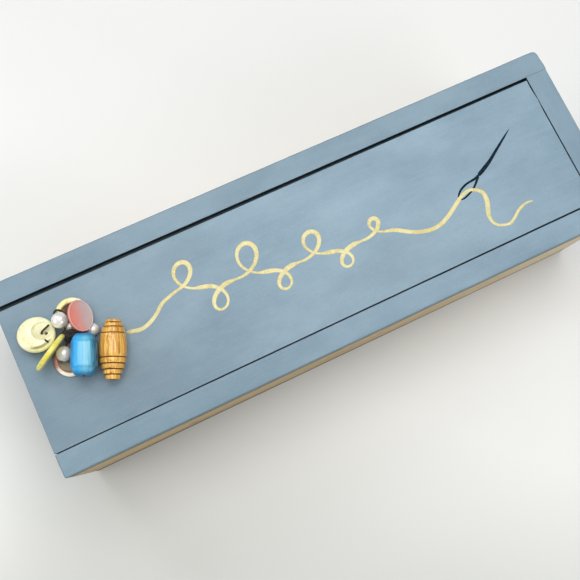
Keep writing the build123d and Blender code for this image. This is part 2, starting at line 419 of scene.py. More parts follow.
def pine(m, along="X", tree=(0.11, -0.19), seed=0.0, knots=(), spacing=2.6):
    """Bare pine: ring lines along one axis, fibres, pores and knots. Returns (colour, height)."""
    x, y, z = m.xyz()
    if along == "Y":
        x, y = y, x
    warp = m.noise(m.stretch(*((90, 26, 26) if along == "X" else (26, 90, 26)), offset=(seed, seed * 0.7, 0)), 1.0, 3.0, 0.5)
    dy = m.math("SUBTRACT", y, tree[0])
    dz = m.math("SUBTRACT", z, tree[1])
    r = m.math("SQRT", m.math("ADD", m.math("MULTIPLY", dy, dy), m.math("MULTIPLY", dz, dz)))
    r = m.math("ADD", r, m.math("MULTIPLY", m.math("SUBTRACT", warp, 0.5), 0.030))
    dark_knots = None
    for kx, ky, kz, kr in knots:
        d = m.vmath("DISTANCE", m.stretch(1000, 1000, 1000), (kx, ky, kz))
        bump_r = m.math("MULTIPLY", m.math("EXPONENT", m.math("MULTIPLY", m.math("POWER", m.math("DIVIDE", d, kr * 2.2), 2.0), -1.0)), kr * 1.9)
        r = m.math("ADD", r, bump_r)
        k = m.step(d, kr * 0.55, kr * 1.15, 1.0, 0.0)
        dark_knots = k if dark_knots is None else m.math("MAXIMUM", dark_knots, k)
    phase = m.math("FRACT", m.math("DIVIDE", r, spacing * MM))
    late = m.ramp(phase, [(0.0, 0.05), (0.55, 0.18), (0.86, 0.95), (0.93, 1.0), (1.0, 0.05)])
    fibre = m.noise(m.stretch(*((14, 0.35, 0.35) if along == "X" else (0.35, 14, 0.35)), offset=(seed, 3.1, 0)), 1.0, 4.0, 0.6)
    pores = m.noise(m.stretch(*((3.0, 0.16, 0.16) if along == "X" else (0.16, 3.0, 0.16)), offset=(0, seed, 5)), 1.0, 2.0, 0.5)
    big = m.noise(m.stretch(60, 30, 30, offset=(seed, 0, 9)), 1.0, 2.0, 0.5)
    light = m.mix(m.step(big, 0.35, 0.65), (0.560, 0.430, 0.220), (0.470, 0.345, 0.155))
    col = m.mix(m.math("MULTIPLY", late, 0.60), light, (0.310, 0.190, 0.075))
    col = m.mix(m.step(fibre, 0.35, 0.75, 0.0, 0.30), col, (0.34, 0.21, 0.10))
    col = m.mix(m.step(pores, 0.60, 0.72, 0.0, 0.35), col, (0.22, 0.13, 0.06))
    if dark_knots is not None:
        col = m.mix(m.math("MULTIPLY", dark_knots, 0.88), col, (0.115, 0.050, 0.020))
    height = m.math("ADD", m.math("MULTIPLY", late, 0.5), m.math("MULTIPLY", fibre, 0.5))
    return col, height


PAINT_A = (0.188, 0.277, 0.345)
PAINT_B = (0.218, 0.312, 0.383)
PAINT_D = (0.156, 0.238, 0.302)


def chalk_paint(m, along="X", seed=0.0):
    """Brushed chalk paint: long fine brush marks, a weave of short ones, soft mottling. Returns (colour, height)."""
    def st(a, b, c, off):
        return m.stretch(*((a, b, c) if along == "X" else (b, a, c)), offset=(off + seed, off * 0.37, off * 0.11))
    mott = m.noise(st(55, 30, 40, 1.7), 1.0, 3.0, 0.55)
    mott2 = m.noise(st(14, 9, 12, 4.9), 1.0, 3.0, 0.6)
    brush = m.noise(st(46, 0.62, 2.0, 7.3), 1.0, 3.0, 0.6)
    brush2 = m.noise(st(9.0, 0.42, 2.0, 2.2), 1.0, 2.0, 0.6)
    cross = m.noise(st(0.9, 1.6, 2.0, 8.8), 1.0, 2.0, 0.5)
    col = m.mix(m.step(mott, 0.32, 0.68), PAINT_D, PAINT_B)
    col = m.mix(m.step(mott2, 0.30, 0.70, 0.0, 0.45), col, PAINT_A)
    col = m.mix(m.step(brush, 0.42, 0.66, 0.0, 0.17), col, (0.247, 0.336, 0.394))
    col = m.mix(m.step(brush2, 0.52, 0.74, 0.0, 0.17), col, (0.165, 0.237, 0.290))
    col = m.mix(m.step(cross, 0.50, 0.70, 0.0, 0.20), col, (0.258, 0.339, 0.396))
    pits = m.noise(st(1.5, 1.1, 2.0, 3.3), 1.0, 3.0, 0.6)
    col = m.mix(m.step(pits, 0.56, 0.70, 0.0, 0.22), col, (0.136, 0.204, 0.258))
    height = m.math("ADD", m.math("ADD", m.math("MULTIPLY", brush, 0.55), m.math("MULTIPLY", brush2, 0.3)),
                    m.math("MULTIPLY", cross, 0.18))
    return col, height


def shade_along_box(m, lo, hi, a, b):
    """A scale for the paint along the box: painted shade, darker towards the open end, the change wavering a little
    with noise.
    """
    x, y, z = m.xyz()
    drift = m.noise(m.stretch(38, 38, 38, offset=(4.4, 1.2, 0)), 1.0, 2.0, 0.5)
    x = m.math("ADD", x, m.math("MULTIPLY", m.math("SUBTRACT", drift, 0.5), 60 * MM))
    return m.step(x, lo, hi, a, b)


def edge_distance(m):
    """Distance to the nearest outer arris of the box for a point on its surface, in metres."""
    x, y, z = m.xyz()
    dx = m.math("SUBTRACT", XR, m.math("ABSOLUTE", x))
    dy = m.math("SUBTRACT", YB, m.math("ABSOLUTE", y))
    dz = m.math("SUBTRACT", TOP, z)
    s = m.math("ADD", m.math("ADD", dx, dy), dz)
    hi = m.math("MAXIMUM", m.math("MAXIMUM", dx, dy), dz)
    lo = m.math("MINIMUM", m.math("MINIMUM", dx, dy), dz)
    return m.math("SUBTRACT", m.math("SUBTRACT", s, hi), lo), (x, y, z), (dx, dy, dz)


def painted_board(name, along="X", tree=(0.11, -0.19), knots=(), seed=0.0, ends=True, wear=1.0, shade_scale=(0.96, 0.96), lap=4.8):
    """Pine painted over its top and the box's ends, bare on its faces, the paint rubbed along the arrises, with painted
    shade along them, in the grooves and at the foot.
    """
    m = Mat(name)
    wood, wood_h = pine(m, along, tree, seed, knots)
    paint, paint_h = chalk_paint(m, along, seed)
    # painted shade: the paint is scaled darker towards the open end, and over the whole back board
    paint = scale_color(m, paint, shade_along_box(m, -0.10, 0.08, *shade_scale))
    e, (x, y, z), (dx, dy, dz) = edge_distance(m)
    ragged = m.noise(m.stretch(7, 7, 7, offset=(seed, 2, 1)), 1.0, 4.0, 0.6)
    edge_z = m.math("ADD", m.math("MULTIPLY", m.math("SUBTRACT", ragged, 0.5), 6.0 * MM), TOP - lap * MM)
    mask = m.step(m.math("SUBTRACT", z, edge_z), -0.15 * MM, 0.15 * MM)
    if ends:
        edge_x = m.math("ADD", m.math("MULTIPLY", m.math("SUBTRACT", ragged, 0.5), 3.0 * MM), 1.4 * MM)
        mask = m.math("MAXIMUM", mask, m.step(m.math("SUBTRACT", edge_x, dx), -0.15 * MM, 0.15 * MM))
    # bare wood inside the box
    inside = m.math("MULTIPLY", m.step(dx, 12.6 * MM, 12.9 * MM), m.step(dy, 12.2 * MM, 12.45 * MM))
    low = m.step(z, TOP - 10.5 * MM, TOP - 8.6 * MM, 1.0, 0.0)
    mask = m.math("MULTIPLY", mask, m.math("SUBTRACT", 1.0, m.math("MULTIPLY", inside, low)))
    # rubbed arrises, and painted shade along and down their rounded faces
    fray = m.noise(m.stretch(2.2, 2.2, 2.2, offset=(seed, 7, 3)), 1.0, 5.0, 0.65)
    fray2 = m.noise(m.stretch(24, 24, 24, offset=(seed, 1, 3)), 1.0, 2.0, 0.5)
    limit = m.math("ADD", m.math("MULTIPLY", m.math("SUBTRACT", fray, 0.45), 1.9 * MM * wear),
                   m.math("MULTIPLY", fray2, 0.35 * MM * wear))
    rub = m.step(m.math("SUBTRACT", limit, e), -0.25 * MM, 0.45 * MM)
    soft = m.step(e, 0.05 * MM, 0.85 * MM, 1.0, 0.0)
    rub_col = m.mix(m.step(ragged, 0.35, 0.65), (0.100, 0.105, 0.085), (0.210, 0.190, 0.135))
    # painted shade: the paint turns teal-grey towards the arris
    paint = m.mix(m.math("MULTIPLY", soft, 0.50), paint, (0.105, 0.130, 0.130))
    paint = m.mix(m.math("MULTIPLY", rub, 0.72), paint, rub_col)
    # painted shade, dark olive, on the steep part of the outer arris
    steep_arris_shade = m.step(z, TOP - 1.9 * MM, TOP - 0.75 * MM, 0.84, 0.0)
    outer = m.math("MULTIPLY", m.step(dy, 0.25 * MM, 1.3 * MM, 1.0, 0.0), m.step(dx, 0.3 * MM, 1.3 * MM, 0.0, 1.0))
    paint = m.mix(m.math("MULTIPLY", steep_arris_shade, outer), paint, (0.085, 0.094, 0.078))
    # painted shade in the groove: the paint there turns near black
    wall = m.step(dy, 7.0 * MM, 12.2 * MM) if along == "X" else m.step(dx, 12.5 * MM, 12.85 * MM)
    groove = m.math("MULTIPLY", wall, m.step(z, TOP - 0.50 * MM, TOP - 0.10 * MM, 1.0, 0.0))
    groove = m.math("MULTIPLY", groove, m.step(dx, 0.3 * MM, 1.3 * MM))
    paint = m.mix(m.math("MULTIPLY", groove, 0.96), paint, (0.008, 0.024, 0.032))
    # the bare face is darker under the painted edge: a little dirt and painted shade
    dirt = m.step(dz, 4.0 * MM, 19.0 * MM, 0.60, 0.0)
    wood = m.mix(dirt, wood, (0.120, 0.112, 0.068))
    grime = m.noise(m.stretch(30, 12, 14, offset=(seed, 0, 2)), 1.0, 3.0, 0.6)
    wood = m.mix(m.step(grime, 0.42, 0.76, 0.0, 0.30), wood, (0.215, 0.155, 0.078))
    # painted light: the bare face turns paler towards the right end
    pale = m.step(x, 0.0, 0.155, 0.0, 0.55)
    wood = m.mix(pale, wood, (0.660, 0.580, 0.410))
    specks = m.noise(m.stretch(3.4, 3.4, 6.0, offset=(seed, 4, 2)), 1.0, 2.0, 0.5)
    wood = m.mix(m.step(specks, 0.705, 0.76, 0.0, 0.60), wood, (0.080, 0.055, 0.026))
    # painted contact shadow along the foot of the face, weaker towards the right
    contact_shade = m.step(z, p_hi.z + 1.0 * MM, p_hi.z + 15.0 * MM, 0.86, 0.0)
    wood = m.mix(m.math("MULTIPLY", contact_shade, m.step(x, -0.02, 0.14, 1.0, 0.45)), wood, (0.070, 0.055, 0.030))
    col = m.mix(mask, wood, paint)
    h = m.math("ADD", m.math("MULTIPLY", m.math("SUBTRACT", 1.0, mask), m.math("MULTIPLY", wood_h, 0.8)),
               m.math("MULTIPLY", mask, m.math("ADD", paint_h, 0.9)))
    nrm = m.bump(h, 0.05 * MM, 0.55)
    rough = m.step(m.noise(m.stretch(5, 2, 5)), 0.3, 0.7, 0.50, 0.62)
    m.set(color=col, rough=rough, spec=0.38, normal=nrm)
    return m.m


def lid_material(name):
    """The lid: painted on top and over its edges, bare underneath."""
    m = Mat(name)
    wood, wood_h = pine(m, "X", (0.03, -0.16), 4.0, ((0.06, 0.012, 0.079, 0.004),))
    paint, paint_h = chalk_paint(m, "X", 11.0)
    x, y, z = m.xyz()
    # painted shade: the lid's paint is darker towards the open end, and over the front of its left part
    paint = scale_color(m, paint, shade_along_box(m, -0.105, -0.015, 0.885, 1.05))
    near = m.math("MULTIPLY", m.step(y, -0.020, -0.002, 0.92, 1.0), 1.0)
    paint = scale_color(m, paint, m.math("MAXIMUM", near, m.step(x, 0.04, 0.12, 0.92, 1.0)))
    ragged = m.noise(m.stretch(6, 6, 6), 1.0, 4.0, 0.6)
    edge_z = m.math("ADD", m.math("MULTIPLY", m.math("SUBTRACT", ragged, 0.5), 1.5 * MM), LID_Z0 + 0.6 * MM)
    mask = m.step(m.math("SUBTRACT", z, edge_z), -0.1 * MM, 0.1 * MM)
    dy = m.math("SUBTRACT", INY - 1.3 * MM, m.math("ABSOLUTE", y))
    dxr = m.math("SUBTRACT", INX - 0.5 * MM, x)
    dxl = m.math("SUBTRACT", x, XL)
    e = m.math("MINIMUM", m.math("MINIMUM", dxl, dxr), dy)
    fray = m.noise(m.stretch(1.8, 1.8, 1.8), 1.0, 5.0, 0.65)
    rub = m.step(m.math("SUBTRACT", m.math("MULTIPLY", m.math("SUBTRACT", fray, 0.50), 2.4 * MM), dxl), -0.1 * MM, 0.4 * MM)
    paint = m.mix(m.math("MULTIPLY", rub, 0.5), paint, (0.20, 0.19, 0.155))
    paint = m.mix(m.step(dxl, 0.0, 1.6 * MM, 0.28, 0.0), paint, (0.150, 0.185, 0.195))
    # painted highlight along the field's edges
    edge_highlight = m.step(e, 0.25 * MM, 0.9 * MM, 0.06, 0.0)
    paint = m.mix(edge_highlight, paint, (0.300, 0.390, 0.450))
    # painted shade in the gaps: the field's sides and the tongue are painted near black
    tongue = m.math("MULTIPLY", m.step(z, TOP - 0.55 * MM, TOP - 0.10 * MM, 1.0, 0.0), m.step(dxl, 0.8 * MM, 2.0 * MM, 0.25, 0.95))
    paint = m.mix(tongue, paint, (0.010, 0.027, 0.036))
    col = m.mix(mask, wood, paint)
    nrm = m.bump(m.math("ADD", m.math("MULTIPLY", paint_h, mask), m.math("MULTIPLY", wood_h, 0.2)), 0.05 * MM, 0.55)
    rough = m.step(m.noise(m.stretch(5, 2, 5)), 0.3, 0.7, 0.46, 0.58)
    m.set(color=col, rough=rough, spec=0.45, normal=nrm)
    return m.m


def wood_material(name, along="X", tree=(0.05, -0.1), seed=0.0, knots=()):
    m = Mat(name)
    col, h = pine(m, along, tree, seed, knots)
    x, y, z = m.xyz()
    # painted contact shadow along the board's outer edges, weaker towards the right
    rim = m.step(m.math("MINIMUM", m.math("SUBTRACT", YB, m.math("ABSOLUTE", y)), m.math("SUBTRACT", XR, m.math("ABSOLUTE", x))),
                 0.35 * MM, 1.0 * MM, 0.82, 0.0)
    col = m.mix(m.math("MULTIPLY", rim, m.step(x, -0.02, 0.14, 1.0, 0.55)), col, (0.085, 0.062, 0.034))
    # painted shade at the foot of the board, where it meets the floor
    col = m.mix(m.step(z, 0.0, 1.2 * MM, 0.45, 0.0), col, (0.16, 0.13, 0.09))
    m.set(color=col, rough=0.62, spec=0.3, normal=m.bump(h, 0.06 * MM, 0.6))
    return m.m


def finish(ob, body, slot, material, *nodes):
    ob.data.materials.clear()
    ob.data.materials.append(material)
    if nodes:
        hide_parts(*nodes)
    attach(ob, body)
    return ob


# ---------------------------------------------------------------------------
# Camera: looks down on the box from above its front left
# ---------------------------------------------------------------------------
CAM = Vector((-0.07646, -0.07067, 0.47766))
RIGHT = Vector((0.90096, -0.42947, 0.06188))
UP = Vector((0.41223, 0.89172, 0.18682))
BACK = Vector((-0.13542, -0.14281, 0.98044))
cam_data = bpy.data.cameras.new("camera")
cam_data.sensor_width = 36.0
cam_data.lens = 36.0 * 764.46 / 580.0
cam_data.clip_start = 0.01
cam = bpy.data.objects.new("camera", cam_data)
scene.collection.objects.link(cam)
m4 = Matrix((RIGHT, UP, BACK)).transposed().to_4x4()
m4.translation = CAM
cam.matrix_world = m4
scene.camera = cam

# ---------------------------------------------------------------------------
# Box boards
# ---------------------------------------------------------------------------
ARRIS = 0.95 * MM


def brad_cutters(sign):
    """Cutters for the brads' sunk heads in one long side."""
    out = []
    for x in (XL + 6.5 * MM, XR - 6.5 * MM):
        for z in (16, 42, 67):
            y0 = sign * (YB - 1.4 * MM)
            y1 = sign * (YB + 1.0 * MM)
            mat = Matrix.Translation((x, 0, z * MM)) @ Matrix.Rotation(math.radians(-90), 4, "X")
            a, b = sorted((y0 / MM, y1 / MM))
            out.append(cyl(1.56, a, b, seg=28, matrix=mat))
    return out


def side(name, lo, hi, sign):
    r_in, r_out = 0.16 * MM, ARRIS
    radii = [0.8 * MM, ARRIS, r_out if sign < 0 else r_in, r_in if sign < 0 else r_out, 0.25 * MM, ARRIS]
    if sign > 0:
        radii[1] = radii[3] = 2.9 * MM

    def local(p, r):
        # the inner top arris stays crisp, and the back's right corner is worn round
        inner = abs(p.y) < abs(lo.y + hi.y) / 2
        r[5] = 0.18 * MM if inner else ARRIS
        if sign > 0:
            corner = p.x > hi.x - 3.2 * MM and p.y > hi.y - 3.2 * MM
            r[1] = r[3] = 2.9 * MM if corner else ARRIS
        return r

    ob = rounded_box(name, lo, hi, radii, step=(5 * MM, 3 * MM, 5 * MM), local=local, wobble=0.16 * MM,
                     seed=3.0 if sign > 0 else 9.6)
    y0, y1 = sorted((sign * (INY - 2 * MM), sign * (INY + GROOVE_D)))
    cut = plain_box((XL - 2 * MM, y0, GROOVE_Z0), (INX + GROOVE_D, y1, GROOVE_Z1))
    return smooth(boolean(ob, [cut] + brad_cutters(sign)), 32)


front = side("front_side_board", f_lo, f_hi, -1)
finish(front, "box", "side_wood", painted_board(
    "front_board", "X", (-0.16, -0.21), ((0.0185, YF, 0.050, 0.0030), (-0.098, YF, 0.036, 0.0042), (0.075, YF, 0.022, 0.0026)),
    2.0, shade_scale=(0.92, 1.01), lap=12.0),
    "front_side")

back = side("back_side_board", b_lo, b_hi, +1)
finish(back, "box", "side_wood", painted_board(
    "back_board", "X", (0.19, -0.15), ((-0.06, YB, 0.055, 0.0050), (0.104, YB, 0.031, 0.0035)), 5.0, shade_scale=(0.90, 0.94)), "back_side")

closed = rounded_box("closed_end_board", c_lo, c_hi, [0.3 * MM, ARRIS, 0.06 * MM, 0.06 * MM, 0.25 * MM, ARRIS],
                     step=(3 * MM, 5 * MM, 5 * MM), wobble=0.14 * MM, seed=5.0,
                     local=lambda p, r: r[:5] + [0.35 * MM if p.x < (c_lo.x + c_hi.x) / 2 else ARRIS])
closed = smooth(boolean(closed, [plain_box((INX - 2 * MM, -INY - 3 * MM, GROOVE_Z0), (INX + GROOVE_D, INY + 3 * MM, GROOVE_Z1))]), 32)
finish(closed, "box", "painted_wood", painted_board("closed_board", "Y", (0.30, -0.10), (), 8.0), "closed_end")

open_b = rounded_box("open_end_board", o_lo, o_hi, [0.9 * MM, 0.5 * MM, 0.06 * MM, 0.06 * MM, 0.25 * MM, 0.7 * MM],
                     step=(3 * MM, 5 * MM, 5 * MM), wobble=0.14 * MM, seed=7.0)
smooth(open_b, 32)


def open_material(name):
    m = Mat(name)
    wood, wood_h = pine(m, "Y", (-0.3, -0.12), 13.0, ((XL, 0.018, 0.04, 0.0035),))
    paint, paint_h = chalk_paint(m, "Y", 3.0)
    x, y, z = m.xyz()
    ragged = m.noise(m.stretch(4, 4, 4), 1.0, 4.0, 0.6)
    edge = m.math("ADD", m.math("MULTIPLY", m.math("SUBTRACT", ragged, 0.5), 4.0 * MM), XL + 2.2 * MM)
    mask = m.step(m.math("SUBTRACT", edge, x), -0.15 * MM, 0.15 * MM)
    rub = m.math("MULTIPLY", m.step(z, GROOVE_Z0 - 2.5 * MM, GROOVE_Z0 - 0.2 * MM), m.step(ragged, 0.40, 0.60))
    paint = m.mix(m.math("MULTIPLY", rub, 0.7), paint, (0.30, 0.25, 0.17))
    m.set(color=m.mix(mask, wood, paint), rough=0.58, spec=0.35,
          normal=m.bump(m.math("ADD", m.math("MULTIPLY", paint_h, mask), m.math("MULTIPLY", wood_h, 0.5)), 0.05 * MM, 0.55))
    return m.m


finish(open_b, "box", "painted_wood", open_material("open_board"), "open_end")


def bottom_local(p, r):
    corner = p.x > p_hi.x - 3.2 * MM and p.y > p_hi.y - 3.2 * MM
    r[1], r[3] = (2.9 * MM, 2.9 * MM) if corner else (0.8 * MM, 0.5 * MM)
    return r


bottom = rounded_box("bottom_board", p_lo, p_hi, [0.7 * MM, 2.9 * MM, 0.5 * MM, 2.9 * MM, 0.5 * MM, 0.2 * MM],
                     step=(6 * MM, 5 * MM, 3 * MM), wobble=0.12 * MM, seed=15.0, local=bottom_local)
bots = []
for sx in (-1, 1):
    bots.append(cyl(1.56, -1, 1.3, x=sx * 156.5, y=0, seg=28))
for sy in (-1, 1):
    for x in (-128, -64, 0, 64, 128):
        bots.append(cyl(1.56, -1, 1.3, x=x, y=sy * 46.25, seg=28))
bottom = smooth(boolean(bottom, bots), 32)
finish(bottom, "box", "bottom_wood", wood_material("bottom_pine", "X", (-0.02, -0.05), 21.0, ((0.04, 0.01, 0.006, 0.005), (-0.09, -0.02, 0.006, 0.004))), "bottom_panel")

# ---------------------------------------------------------------------------
# Lid
# ---------------------------------------------------------------------------
F_BACK = (INY - 2.45 * MM, INY - 1.77 * MM)        # the field's back edge at left and right
F_FRONT = (-(INY - 0.56 * MM), -(INY - 0.92 * MM))
F_END = INX - 0.66 * MM


def lid_field():
    lo, hi = Vector((XL, F_FRONT[0], LID_Z0)), Vector((F_END, F_BACK[0], TOP))
    ob = rounded_box("lid_board", lo, hi, [0.7 * MM, 0.28 * MM, 0.16 * MM, 0.16 * MM, 0.3 * MM, 0.16 * MM],
                     step=(5 * MM, 4 * MM, 3 * MM), wobble=0.10 * MM, seed=33.0)
    for v in ob.data.vertices:
        t = (v.co.x - XL) / (F_END - XL)
        yf = F_FRONT[0] + (F_FRONT[1] - F_FRONT[0]) * t
        yb = F_BACK[0] + (F_BACK[1] - F_BACK[0]) * t
        s = (v.co.y - F_FRONT[0]) / (F_BACK[0] - F_FRONT[0])
        v.co.y = yf + (yb - yf) * s
    # the field's end: pinched tight against the closed end near the back, open elsewhere
    for v in ob.data.vertices:
        if v.co.x > F_END - 3 * MM:
            k = (v.co.x - (F_END - 3 * MM)) / (3 * MM)
            y = v.co.y / MM
            pinch = 0.42 * math.exp(-((y - 25.0) / 3.2) ** 2) - 0.16 * math.exp(-((y - 34.0) / 3.5) ** 2)
            v.co.x += k * pinch * MM
    return ob


lid = lid_field()
tongue = rounded_box("tongue", (XL + 0.02 * MM, l_lo.y, LID_Z0), (l_hi.x, l_hi.y, TONGUE_Z1),
                     [0.5 * MM, 0.5 * MM, 0.5 * MM, 0.5 * MM, 0.4 * MM, 0.4 * MM], step=(12 * MM, 8 * MM, 3 * MM))
lid = smooth(boolean(lid, [tongue], "UNION"), 32)
finish(lid, "lid", "lid_paint", lid_material("lid_paint"), "lid")

# ---------------------------------------------------------------------------
# Painted thread and needle: thin strokes of paint that stand a hair above the lid
# ---------------------------------------------------------------------------
LIDZ = TOP


def stroke(name, pts, height=0.11, per=9, z_lift=0.0):
    """A stroke of paint. pts are (x, y, width) in mm on the lid's top."""
    line = catmull(pts, per)
    verts, faces = [], []
    cs = [(-0.5, 0.0), (-0.44, 0.45), (-0.26, 0.86), (0.0, 1.0), (0.26, 0.86), (0.44, 0.45), (0.5, 0.0)]
    n = len(cs)
    N = len(line)
    for i, p in enumerate(line):
        a, b = line[max(0, i - 1)], line[min(N - 1, i + 1)]
        t = np.array([b[0] - a[0], b[1] - a[1]])
        t /= max(1e-9, np.linalg.norm(t))
        nx, ny = -t[1], t[0]
        w = max(0.05, p[2])
        w *= 1.0 + 0.10 * noise.noise(Vector((p[0] * 0.9, p[1] * 0.9, 3.0))) + 0.06 * noise.noise(
            Vector((p[0] * 3.1, p[1] * 3.1, 5.0)))
        cap = min(1.0, math.sqrt(max(0.0, min(i, N - 1 - i) + 0.15) / 3.0))
        hh = height * min(1.0, w / 1.4) * (0.5 + 0.5 * cap)
        for u, v in cs:
            verts.append(((p[0] + nx * u * w * cap) * MM, (p[1] + ny * u * w * cap) * MM,
                          LIDZ + (v * hh - 0.02 + z_lift) * MM))
        for u, v in ((0.5, 0), (-0.5, 0)):
            verts.append(((p[0] + nx * u * w * cap) * MM, (p[1] + ny * u * w * cap) * MM, LIDZ - 0.06 * MM))
    k = n + 2
    for i in range(N - 1):
        for j in range(k):
            j2 = (j + 1) % k
            faces.append((i * k + j, i * k + j2, (i + 1) * k + j2, (i + 1) * k + j))
    faces.append(tuple(range(k))[::-1])
    faces.append(tuple((N - 1) * k + j for j in range(k)))
    me = mesh_of(name, verts, faces)
    ob = link(name, me)
    return smooth(ob, 60)


def flourish():
    """Loose round loops of thread, turn about above and below the line, between the painted thread's two ends."""
    a, b = np.array([-80.5, 10.4]), np.array([40.0, -7.2])
    amp = [15.0, 13.5, 17.5, 11.5, 14.0, 10.5, 9.5]
    wide = [8.4, 7.6, 9.2, 7.2, 8.2, 6.9, 6.2]
    loops = len(amp)
    d = (b - a) / np.linalg.norm(b - a)
    nn = np.array([-d[1], d[0]])
    pts = []
    n = loops * 16
    for i in range(1, n):
        k = i / 16
        t = math.pi * k
        i0 = min(int(k), loops - 1)
        up = 1 if i0 % 2 == 0 else -1
        along = wide[i0] * math.sin(2 * t) + up * 1.6 * math.sin(t) ** 2
        off = up * amp[i0] * math.sin(t) ** 2
        p = a + (b - a) * (k / loops) + d * along + nn * (off - 3.0 * math.sin(math.pi * k / loops))
        w = 1.95 - 0.60 * math.cos(2 * t + 0.5) * up
        pts.append((p[0], p[1], max(1.35, w)))
    return pts


THREAD_START = [(-107.8, 1.4, 1.5), (-104.4, 0.4, 2.1), (-100.5, -0.4, 2.25), (-96.5, 0.2, 2.15), (-92.8, 1.9, 2.05),
                (-89.5, 3.9, 1.95), (-84.7, 7.6, 1.95)]
THREAD_END = [(42.2, -8.1, 2.3), (50.0, -12.8, 2.3), (56.1, -15.2, 2.3), (61.0, -16.0, 2.3), (66.0, -15.6, 2.3),
              (71.2, -13.6, 2.3), (76.9, -10.4, 2.3), (81.6, -7.5, 2.2), (84.2, -6.1, 2.0), (88.4, -5.1, 1.9),
              (90.9, -5.6, 1.9), (93.0, -6.5, 1.9), (95.4, -9.2, 2.35), (95.7, -12.1, 2.6), (95.1, -15.3, 2.7),
              (93.4, -19.3, 2.55), (92.4, -22.4, 2.2), (92.6, -26.0, 1.7), (94.0, -28.3, 1.55), (96.1, -29.6, 1.45),
              (100.7, -30.8, 1.55), (104.5, -29.2, 1.65), (108.5, -26.4, 1.65), (112.4, -24.8, 1.45),
              (115.6, -24.3, 1.1), (118.7, -24.8, 0.75)]
NEEDLE_BODY = [(126.8, 17.3, 0.4), (120.9, 13.6, 1.15), (113.5, 8.9, 1.60), (107.6, 5.1, 2.05), (102.6, 2.5, 2.40),
               (99.2, 0.9, 2.3), (97.6, 0.2, 1.7)]
NEEDLE_LEFT = [(98.4, 0.6, 1.45), (95.3, -0.6, 1.45), (92.6, -0.9, 1.35), (89.7, -1.3, 1.25), (86.7, -2.3, 1.25),
               (84.4, -3.6, 1.25), (82.8, -5.1, 1.1), (81.9, -6.6, 0.9)]
NEEDLE_RIGHT = [(97.9, 0.2, 1.45), (95.8, -1.8, 1.35), (92.8, -4.5, 1.25), (90.4, -6.0, 1.1), (86.7, -7.5, 1.05),
                (84.2, -8.1, 0.95), (82.2, -7.9, 0.8)]


def thread_paint():
    m = Mat("thread_paint")
    streak = m.noise(m.stretch(1.3, 1.3, 5), 1.0, 3.0, 0.6)
    fine = m.noise(m.stretch(0.35, 0.35, 5), 1.0, 2.0, 0.6)
    patch = m.noise(m.stretch(9, 9, 9), 1.0, 2.0, 0.5)
    x, y, z = m.xyz()
    col = m.mix(m.step(streak, 0.38, 0.66), (0.510, 0.430, 0.165), (0.640, 0.555, 0.245))
    col = m.mix(m.step(patch, 0.40, 0.62, 0.0, 0.5), col, (0.690, 0.620, 0.320))
    col = m.mix(m.step(fine, 0.55, 0.72, 0.0, 0.4), col, (0.760, 0.710, 0.440))
    # painted shade on the low sides of the raised stroke
    side = m.step(z, TOP - 0.01 * MM, TOP + 0.055 * MM, 0.45, 0.0)
    col = m.mix(side, col, (0.420, 0.350, 0.130))
    m.set(color=col, rough=0.42, spec=0.5, normal=m.bump(m.math("ADD", fine, streak), 0.05 * MM, 0.6))
    return m.m


def needle_paint():
    m = Mat("needle_paint")
    streak = m.noise(m.stretch(3.0, 1.2, 5), 1.0, 3.0, 0.6)
    col = m.mix(m.step(streak, 0.35, 0.7), (0.004, 0.012, 0.020), (0.010, 0.026, 0.040))
    fine = m.noise(m.stretch(0.4, 0.4, 5), 1.0, 2.0, 0.6)
    m.set(color=col, rough=m.step(fine, 0.3, 0.7, 0.70, 0.85), spec=0.05, normal=m.bump(fine, 0.04 * MM, 0.5))
    return m.m


THREAD_MAT, NEEDLE_MAT = thread_paint(), needle_paint()
for nm, pts, mat, h, sl in (
        ("painted_thread", THREAD_START + flourish() + THREAD_END, THREAD_MAT, 0.13, None),
        ("painted_needle", NEEDLE_BODY, NEEDLE_MAT, 0.10, None),
        ("painted_eye_left", NEEDLE_LEFT, NEEDLE_MAT, 0.10, None),
        ("painted_eye_right", NEEDLE_RIGHT, NEEDLE_MAT, 0.10, None)):
    finish(stroke(nm, pts, h, per=6 if nm == "painted_thread" else 7), "lid", sl, mat)


# ---------------------------------------------------------------------------
# Buttons, pearls and beads
# ---------------------------------------------------------------------------
def mid(node, off=(0, 0, 0)):
    lo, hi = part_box(node)
    c = (lo + hi) / (2 * MM)
    return (c.x + off[0], c.y + off[1], c.z + off[2])


def soft_ring(z0, z1, r0, r1, groove):
    """Profile of one carved ring: rounded shoulders, then a groove down to the radius given."""
    h = z1 - z0
    e = min(0.38, h * 0.22)
    pts = [(groove, z0 - 0.02), (r0 - 0.55 * e, z0), (r0 - 0.12 * e, z0 + 0.25 * e), (r0 + 0.05, z0 + e)]
    for k in (0.35, 0.5, 0.65):
        bulge = 0.10 * math.sin(math.pi * k)
        pts.append((r0 + (r1 - r0) * k + bulge, z0 + h * k))
    pts += [(r1 + 0.05, z1 - e), (r1 - 0.12 * e, z1 - 0.25 * e), (r1 - 0.55 * e, z1), (groove, z1 + 0.02)]
    return pts


